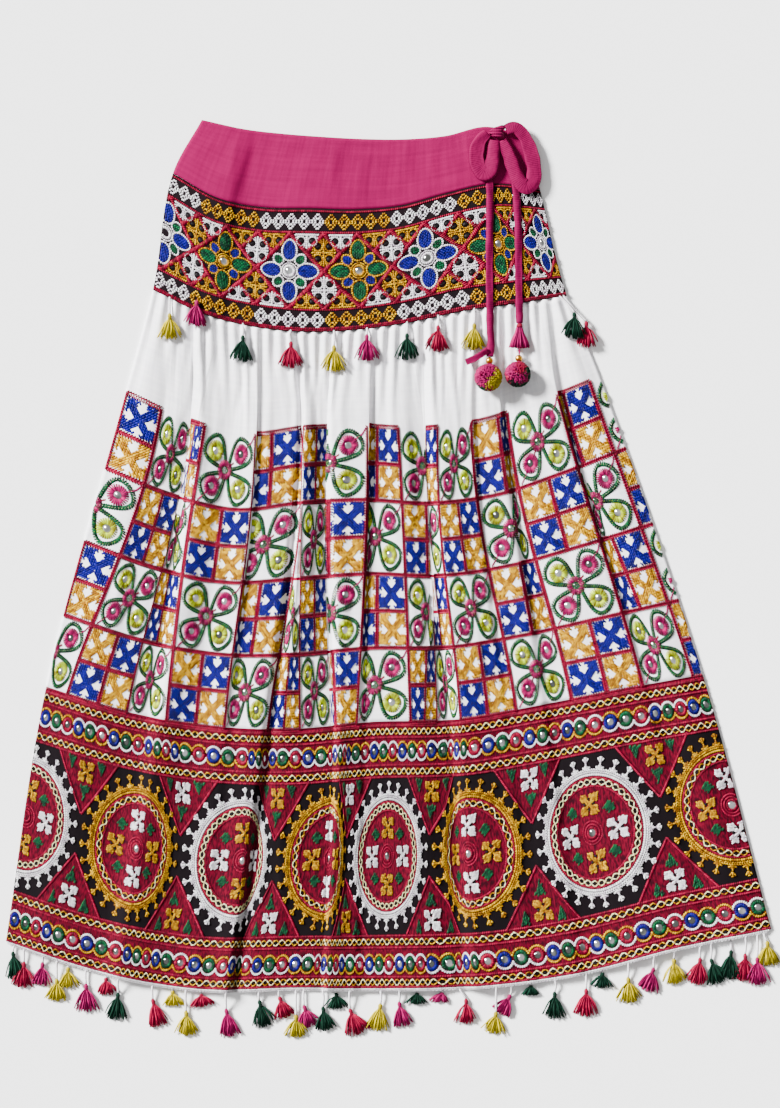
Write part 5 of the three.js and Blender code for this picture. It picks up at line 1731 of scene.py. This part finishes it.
HEM_TASSELS = [
    (-434.3, -427.2, 3.2, -435.7, -433.8, 3.2, -433.4, -461.7, 1.4, "dark green"),
    (-422.9, -431, 5, -422.9, -445.4, 3.2, -422.9, -472.1, 1.4, "rose"),
    (-400.9, -438.6, 7.5, -400.9, -446, 3.2, -404.4, -470, 1.4, "pink"),
    (-384.7, -444.1, 6.7, -384.7, -465.2, 3.2, -385.8, -488, 1.4, "yellow"),
    (-351, -454.8, 3.5, -351, -471, 3.2, -349.9, -500, 1.4, "pink"),
    (-313.2, -464.4, 10.5, -313.2, -481.4, 3.2, -318.1, -509.2, 1.4, "dark green"),
    (-273.8, -472.4, 6.6, -273.8, -488.4, 3.2, -268.1, -517.4, 1.4, "rose"),
    (-235, -478, 6.3, -235, -502.3, 3.2, -233.9, -527.8, 1.4, "yellow"),
    (-188.6, -480.4, 11.5, -188.6, -500, 3.2, -184, -529, 1.4, "pink"),
    (-150.3, -479.3, 7.3, -150.3, -490.1, 3.2, -143.4, -517.4, 1.4, "dark green"),
    (-127.1, -478.5, 5.6, -127.1, -486, 3.2, -119, -507, 1.4, "rose"),
    (-98.5, -478.2, 3.2, -98.5, -495.9, 3.2, -91.5, -518.5, 1.4, "pink"),
    (-107.5, -478.2, 3.9, -107.5, -507, 3.2, -107.5, -530, 1.4, "yellow"),
    (-76.4, -478.4, 4.6, -76.4, -497.6, 3.2, -72.9, -522, 1.4, "dark green"),
    (-45.4, -478.7, 7.6, -45.4, -500, 3.2, -35.5, -526.6, 1.4, "rose"),
    (-9.3, -478.9, 5.3, -9.3, -494, 3.2, -13.3, -522, 1.4, "yellow"),
    (12.1, -478.7, 7, 12.1, -491.8, 3.2, 15.5, -517.4, 1.4, "pink"),
    (82, -477.4, 2.6, 89.8, -488.4, 3.2, 89.8, -513.9, 1.4, "rose"),
    (141.8, -472.7, 8.7, 141.8, -483.7, 3.2, 131.1, -503.4, 1.4, "pink"),
    (124.7, -474.4, 10.3, 124.7, -503.4, 3.2, 121.4, -525.5, 1.4, "yellow"),
    (192.6, -466, 6.3, 192.6, -480.2, 3.2, 191.9, -508.1, 1.4, "dark green"),
    (229, -459.3, 4.7, 229, -476.8, 3.2, 229, -505.8, 1.4, "rose"),
    (277.7, -446.9, 8, 277.7, -463.4, 3.2, 278.9, -490.1, 1.4, "yellow"),
    (307.9, -438.5, 8.4, 307.9, -452.4, 3.2, 298.6, -476, 1.4, "pink"),
    (330.6, -432.8, 7.9, 330.6, -442, 3.2, 331.7, -468, 1.4, "yellow"),
    (361.5, -426.1, 7.5, 361.5, -440.8, 3.2, 358.2, -468.6, 1.4, "rose"),
    (373.5, -423.7, 5.6, 373.5, -442, 3.2, 381.6, -467.5, 1.4, "dark green"),
    (413.4, -416, 7.2, 413.4, -436.2, 3.2, 413.6, -464.8, 1.4, "rose"),
    (427.3, -413.4, 4.6, 427.3, -440.4, 3.2, 428.5, -468.6, 1.4, "pink"),
    (435, -411.9, 3.2, 438.9, -421.6, 3.2, 441.1, -447.1, 1.4, "yellow"),
]
BACK_TASSELS = [
    (-371.9, -448.4, 0.7, -371.9, -452, 2.5, -371.9, -473, 1.4, "yellow"),
    (-327.8, -461, 0.7, -327.8, -464.2, 2.5, -327.8, -481, 1.4, "rose"),
    (-250.5, -476.1, 0.7, -250.5, -479.3, 2.5, -250.5, -494.2, 1.4, "yellow"),
    (-217.5, -479.6, 0.7, -217.5, -482.8, 2.5, -215.5, -495, 1.4, "rose"),
    (-60.5, -478.6, 0.7, -60.5, -481.8, 2.5, -60.5, -497.6, 1.4, "dark green"),
    (33, -478.5, 0.7, 33, -481.7, 2.5, 33, -492, 1.4, "dark green"),
    (61.9, -478, 0.7, 61.9, -481.2, 2.5, 61.9, -490, 1.4, "pink"),
    (165.2, -469.9, 0.7, 165.2, -473.1, 2.5, 165.2, -482, 1.4, "dark green"),
    (247.8, -454.9, 0.7, 247.8, -458.1, 2.5, 247.8, -473, 1.4, "dark green"),
    (397.3, -419.1, 0.7, 397.3, -432, 2.5, 395, -462.2, 1.4, "dark green"),
]
TASSELS = {}
for name, rows in (("yoke", YOKE_TASSELS), ("hem_front", HEM_TASSELS), ("hem_back", BACK_TASSELS)):
    strands = Strands()
    for row in rows:
        add_tassel(strands, row)
    TASSELS[name] = strands.mesh("tassels_" + name)
    print(TASSELS[name].name, "faces:", len(TASSELS[name].data.polygons))


# %% Pompoms, bell, beads and thread
POMPOMS = {"left": ((115.3, 230.8, 21.8), 16.5), "right": ((149.4, 234.6, 20.3), 15.5)}
FLATNESS = 0.82
TUFTS = 1150
GOLDEN_ANGLE = 2.399963
# the direction of each patch of yarn from the middle of its pompom, and its dye
LEFT_PATCHES = [
    (-0.7, 0.5, 0.6, "pink"), (-0.6, -0.4, 0.7, "pink"), (0.2, 0.6, 0.7, "pink"), (0.8, 0.1, 0.6, "yellow"),
    (0.5, -0.5, 0.8, "yellow"), (0.1, -1, 0.3, "rose"), (-0.5, -0.9, 0.1, "green"), (-1, 0, -0.5, "pink"),
    (1, 0, -0.6, "yellow"), (0, 1, -0.5, "pink"), (0, 0, -1, "rose"), (0.6, -0.9, 0.1, "yellow"),
]
RIGHT_PATCHES = [
    (-0.4, 0.6, 0.7, "pink"), (-0.5, 0, 0.8, "pink"), (0.3, 0.6, 0.7, "rose"), (0.9, 0, 0.4, "green"),
    (0.5, -0.4, 0.8, "pink"), (0.5, -0.9, 0.2, "green"), (-0.5, -0.8, 0.4, "black"), (-1, -0.4, 0.2, "rose"),
    (1, 0.4, -0.5, "dark green"), (0, 1, -0.5, "pink"), (0, 0, -1, "rose"), (-0.9, 0.3, 0.2, "pink"),
]


def pompom(name, middle, radius, table):
    strands = Strands()
    patches = np.array([row[:3] for row in table], float)
    patches /= np.linalg.norm(patches, axis=1)[:, None]
    names = [row[3] for row in table]
    flat = np.array([1, 1, FLATNESS])
    for k in range(TUFTS):
        z = 1 - (2 * k + 1) / TUFTS
        way = np.array([*rotated(math.sqrt(1 - z * z), 0, k * GOLDEN_ANGLE), z])
        near = np.argmax(patches @ way + chance.normal(0, 0.06, len(table)))
        lean = way + chance.normal(0, 0.09, 3)
        reach = radius * chance.uniform(0.93, 1.0)
        start = np.array(middle) + way * flat * radius * 0.5
        end = np.array(middle) + lean / np.linalg.norm(lean) * flat * reach
        strands.strand([start, (start + end) / 2, end], [0.45, 0.7, 0.85], shade_of(names[near], 0.65, 1.35))
    return strands.mesh(name)


POMPOM_LEFT = pompom("pompom_yarn_left", *POMPOMS["left"], LEFT_PATCHES)
POMPOM_RIGHT = pompom("pompom_yarn_right", *POMPOMS["right"], RIGHT_PATCHES)

BELL = {"x": 151.5, "top": 293.5, "foot": 264.5, "z": 12.7, "half width": 12.0, "half height": 4.3}


def bell_tassel():
    strands = Strands()
    for _ in range(150):
        side = chance.uniform(-1, 1)
        lift = chance.uniform(-1, 1) * math.sqrt(1 - side * side)
        top = np.array([BELL["x"] + side * 2.4, BELL["top"] - 1, BELL["z"] + lift * 1.6])
        end_y = BELL["foot"] + chance.uniform(0, 2.2) + side * side
        end_z = BELL["z"] + lift * BELL["half height"]
        foot = np.array([BELL["x"] + side * BELL["half width"], end_y, end_z])
        waist = top * 0.62 + foot * 0.38
        waist[0] -= side * 1.2
        low = top * 0.25 + foot * 0.75
        strands.strand([top, waist, low, foot], [0.8, 0.9, 0.95, 0.8], shade_of("pink", 0.8, 1.4))
    neck = np.array([[BELL["x"], BELL["top"] - y, BELL["z"]] for y in (-0.2, 1, 2.5, 4.2)])
    strands.add(*tube(neck, [2.2, 3.4, 3.6, 3.9], [1.8, 2.6, 2.8, 2.9], 12), shade_of("crimson", 1, 1))
    return strands.mesh("bell_tassel_yarn")


BELL_TASSEL = bell_tassel()


def metal():
    m = Finish("gold_bead_metal")
    scratches = m.noise(m.place(), 500, 3)
    colour = m.mix(scratches, dye(214, 160, 60), dye(180, 120, 34))
    return m.finish(colour, 0.3, m.bump(scratches, 0.0001, 0.3), Metallic=1.0)


GOLD = metal()
BEAD_RADIUS = 4.35
BEADS = {}
for side, middle in (("left", (116.8, 250.4, 15.8)), ("right", (150.7, 253.1, 14.3))):
    ball = ellipsoid(np.array(middle), np.array([BEAD_RADIUS] * 3))
    BEADS[side] = joined_mesh("bead_gold_" + side, [ball], GOLD)
holder = Strands()
for turn in (0, 2.1, 4.2):
    t = np.linspace(0, 1, 10)
    swing = np.column_stack([np.cos(t * 7 + turn), 0 * t, np.sin(t * 7 + turn)]) * 0.5
    line = np.array([151.5, 263.9, 12.7]) * (1 - t[:, None]) + np.array([151.1, 257.7, 14.3]) * t[:, None]
    holder.strand(line + swing, 0.62, shade_of("pink"), 5)
THREAD = holder.mesh("drawstring_twisted_thread")
print("pompoms, bell, beads and thread made")

# %% [markdown]
# ## Lace and piping
# A narrow white lace runs along the hem in small loops. Crimson piping covers the lower edge of the
# yoke, as a twisted cord.

# %% Lace on both hems, and the piping
def lace_rows(start, end, level):
    rows = [rope([(start, -level - 0.5), (end, -level - 0.5)], 1.5, "white", 2.0, 0.8)]
    x = np.arange(start + 2, end - 2, 4.0)
    for side in (-1, 1):
        rows.append(stitches(x + side * 1.1, 0 * x - level - 1.7, side * 1.1, 3.0, 0.9, 0.7, "white"))
    rows.append(stitches(x, 0 * x - level - 2.8, 0, 2.6, 0.9, 0.7, "white"))
    return np.vstack(rows)


lace_front = embroider("hem_lace_loops_front", BORDER_PANEL,
                       lace_rows(BORDER_PANEL.start + 2, BORDER_PANEL.end - 2, HEM))
LACE_LENGTH, LACE_INSET = 860, 8
lace_back = repeated("hem_lace_loops_back", lace_rows(0, LACE_LENGTH, 0), STITCH, FLOSS)
flat = vertices_of(lace_back)
hem = np.full(len(flat), float(HEM))
left, right = edges(hem)
x = left + LACE_INSET + flat[:, 0] / LACE_LENGTH * (right - left - 2 * LACE_INSET)
y = height_on_table(x, hem) + flat[:, 1]
set_vertices(lace_back, (np.column_stack([x, y, np.maximum(flat[:, 2] + 0.3, 0.05)]) + SHIFT) * MM)

PIPING_LEVEL = SEAM - 2.9
piping_rows = []
for offset in (-0.9, 0.9):
    line = [(s, -PIPING_LEVEL + offset) for s in (YOKE.start, YOKE.end)]
    piping_rows.append(rope(line, 2.6, "crimson", 2.2, 2.6, 0.8))
piping = embroider("yoke_piping_cord", YOKE, np.vstack(piping_rows))
for piece in (lace_front, lace_back, piping):
    print(piece.name, "faces:", len(piece.data.polygons))

# %% [markdown]
# ## Mirrors
# Each mirror is a thin disc of silvered glass, a little domed, held by its ring of stitches. The same
# tree repeats it, with a disc in place of the stitch.

# %% Mirrors
def mirror_disc(sides=14):
    turn = np.arange(sides) * 2 * np.pi / sides
    low = [(0.5 * math.cos(a), 0.5 * math.sin(a), -0.1) for a in turn]
    high = [(0.47 * math.cos(a), 0.47 * math.sin(a), 0.8) for a in turn]
    points = low + high + [(0, 0, 1)]
    faces = [tuple(range(sides))[::-1]]
    for k in range(sides):
        n = (k + 1) % sides
        faces += [(k, n, sides + n, sides + k), (sides + k, sides + n, 2 * sides)]
    mesh = bpy.data.meshes.new("mirror_shape")
    mesh.from_pydata(points, [], faces)
    return bpy.data.objects.new("mirror_shape", mesh)


def glass():
    m = Finish("silvered_glass")
    # the silvering's dark and bright clouds are painted reflections
    painted_reflections = m.noise(m.place(), 45, 2)
    colour = m.mix(((painted_reflections - 0.42) * 5).clamp(), (0.2, 0.21, 0.2, 1), (0.92, 0.92, 0.94, 1))
    return m.finish(colour, 0.16, m.bump(m.noise(m.place(), 130, 1), 0.001, 0.3), Metallic=1.0)


DISC = mirror_disc()
GLASS = glass()


def mirrors(name, panel, places):
    rows = [(x, y, 0.15, 0, 2 * radius, 2 * radius, 0.9, 1, 1, 1) for x, y, radius in places]
    return draped(name, panel, np.array(rows, float), DISC, GLASS, 5)


MIRRORS = {
    "body": mirrors("mirrors_body", BODY, BODY_GLASS),
    "border": mirrors("mirrors_border", BORDER_PANEL, BORDER_GLASS),
    "yoke": mirrors("mirrors_yoke", YOKE, YOKE_GLASS),
}
for name, piece in MIRRORS.items():
    print(name, "mirror faces:", len(piece.data.polygons))

# %% [markdown]
# ## Hand the pieces to the frame
# Every piece rides on the one body. Cloth takes the place of the solids it covers.

# %% Attach every piece to the body, hiding the solids it covers
def belongs(piece, slot_name, *nodes):
    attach(piece, "root")
    if nodes:
        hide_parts(*nodes)


SLOTS = {
    "waistband": "magenta_cotton", "yoke": "yoke_embroidery", "skirt": "white_cotton",
    "border": "border_embroidery", "body": "white_cotton",
}
for node, sheet in SHEETS.items():
    belongs(sheet, SLOTS[node.split("_")[0]], node)
for name, pieces in EMBROIDERY.items():
    for piece in pieces:
        belongs(piece, SLOTS[name])
for name, piece in MIRRORS.items():
    belongs(piece, SLOTS[name])
for node, (piece, _, _) in CORDS.items():
    belongs(piece, "magenta_cotton", node)
belongs(knot, "magenta_cotton", "drawstring_knot")
belongs(TAIL, "magenta_cotton")
belongs(TASSELS["yoke"], "cotton_thread", "yoke_piping")
belongs(TASSELS["hem_front"], "cotton_thread", "hem_lace_front")
belongs(TASSELS["hem_back"], "cotton_thread", "hem_lace_back")
belongs(piping, "crimson_piping")
belongs(lace_front, "white_lace")
belongs(lace_back, "white_lace")
belongs(POMPOM_LEFT, "pink_yarn", "pompom_left")
belongs(POMPOM_RIGHT, "pink_yarn", "pompom_right")
belongs(BELL_TASSEL, "pink_yarn", "bell_tassel")
belongs(THREAD, "cotton_thread", "drawstring_thread_right")
belongs(BEADS["left"], "gold_bead", "bead_left")
belongs(BEADS["right"], "gold_bead", "bead_right")

# each cord's length and width, in metres, are worked out here and not kept
for node, (piece, path, length) in CORDS.items():
    hangs = "end" in node
    size = CORD if hangs else LOOP
    length * MM
    size["width"] * MM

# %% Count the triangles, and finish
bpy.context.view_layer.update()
counts = [sum(len(p.vertices) - 2 for p in piece.data.polygons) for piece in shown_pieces()]
print("triangles in all:", sum(counts), "in the largest piece:", max(counts))
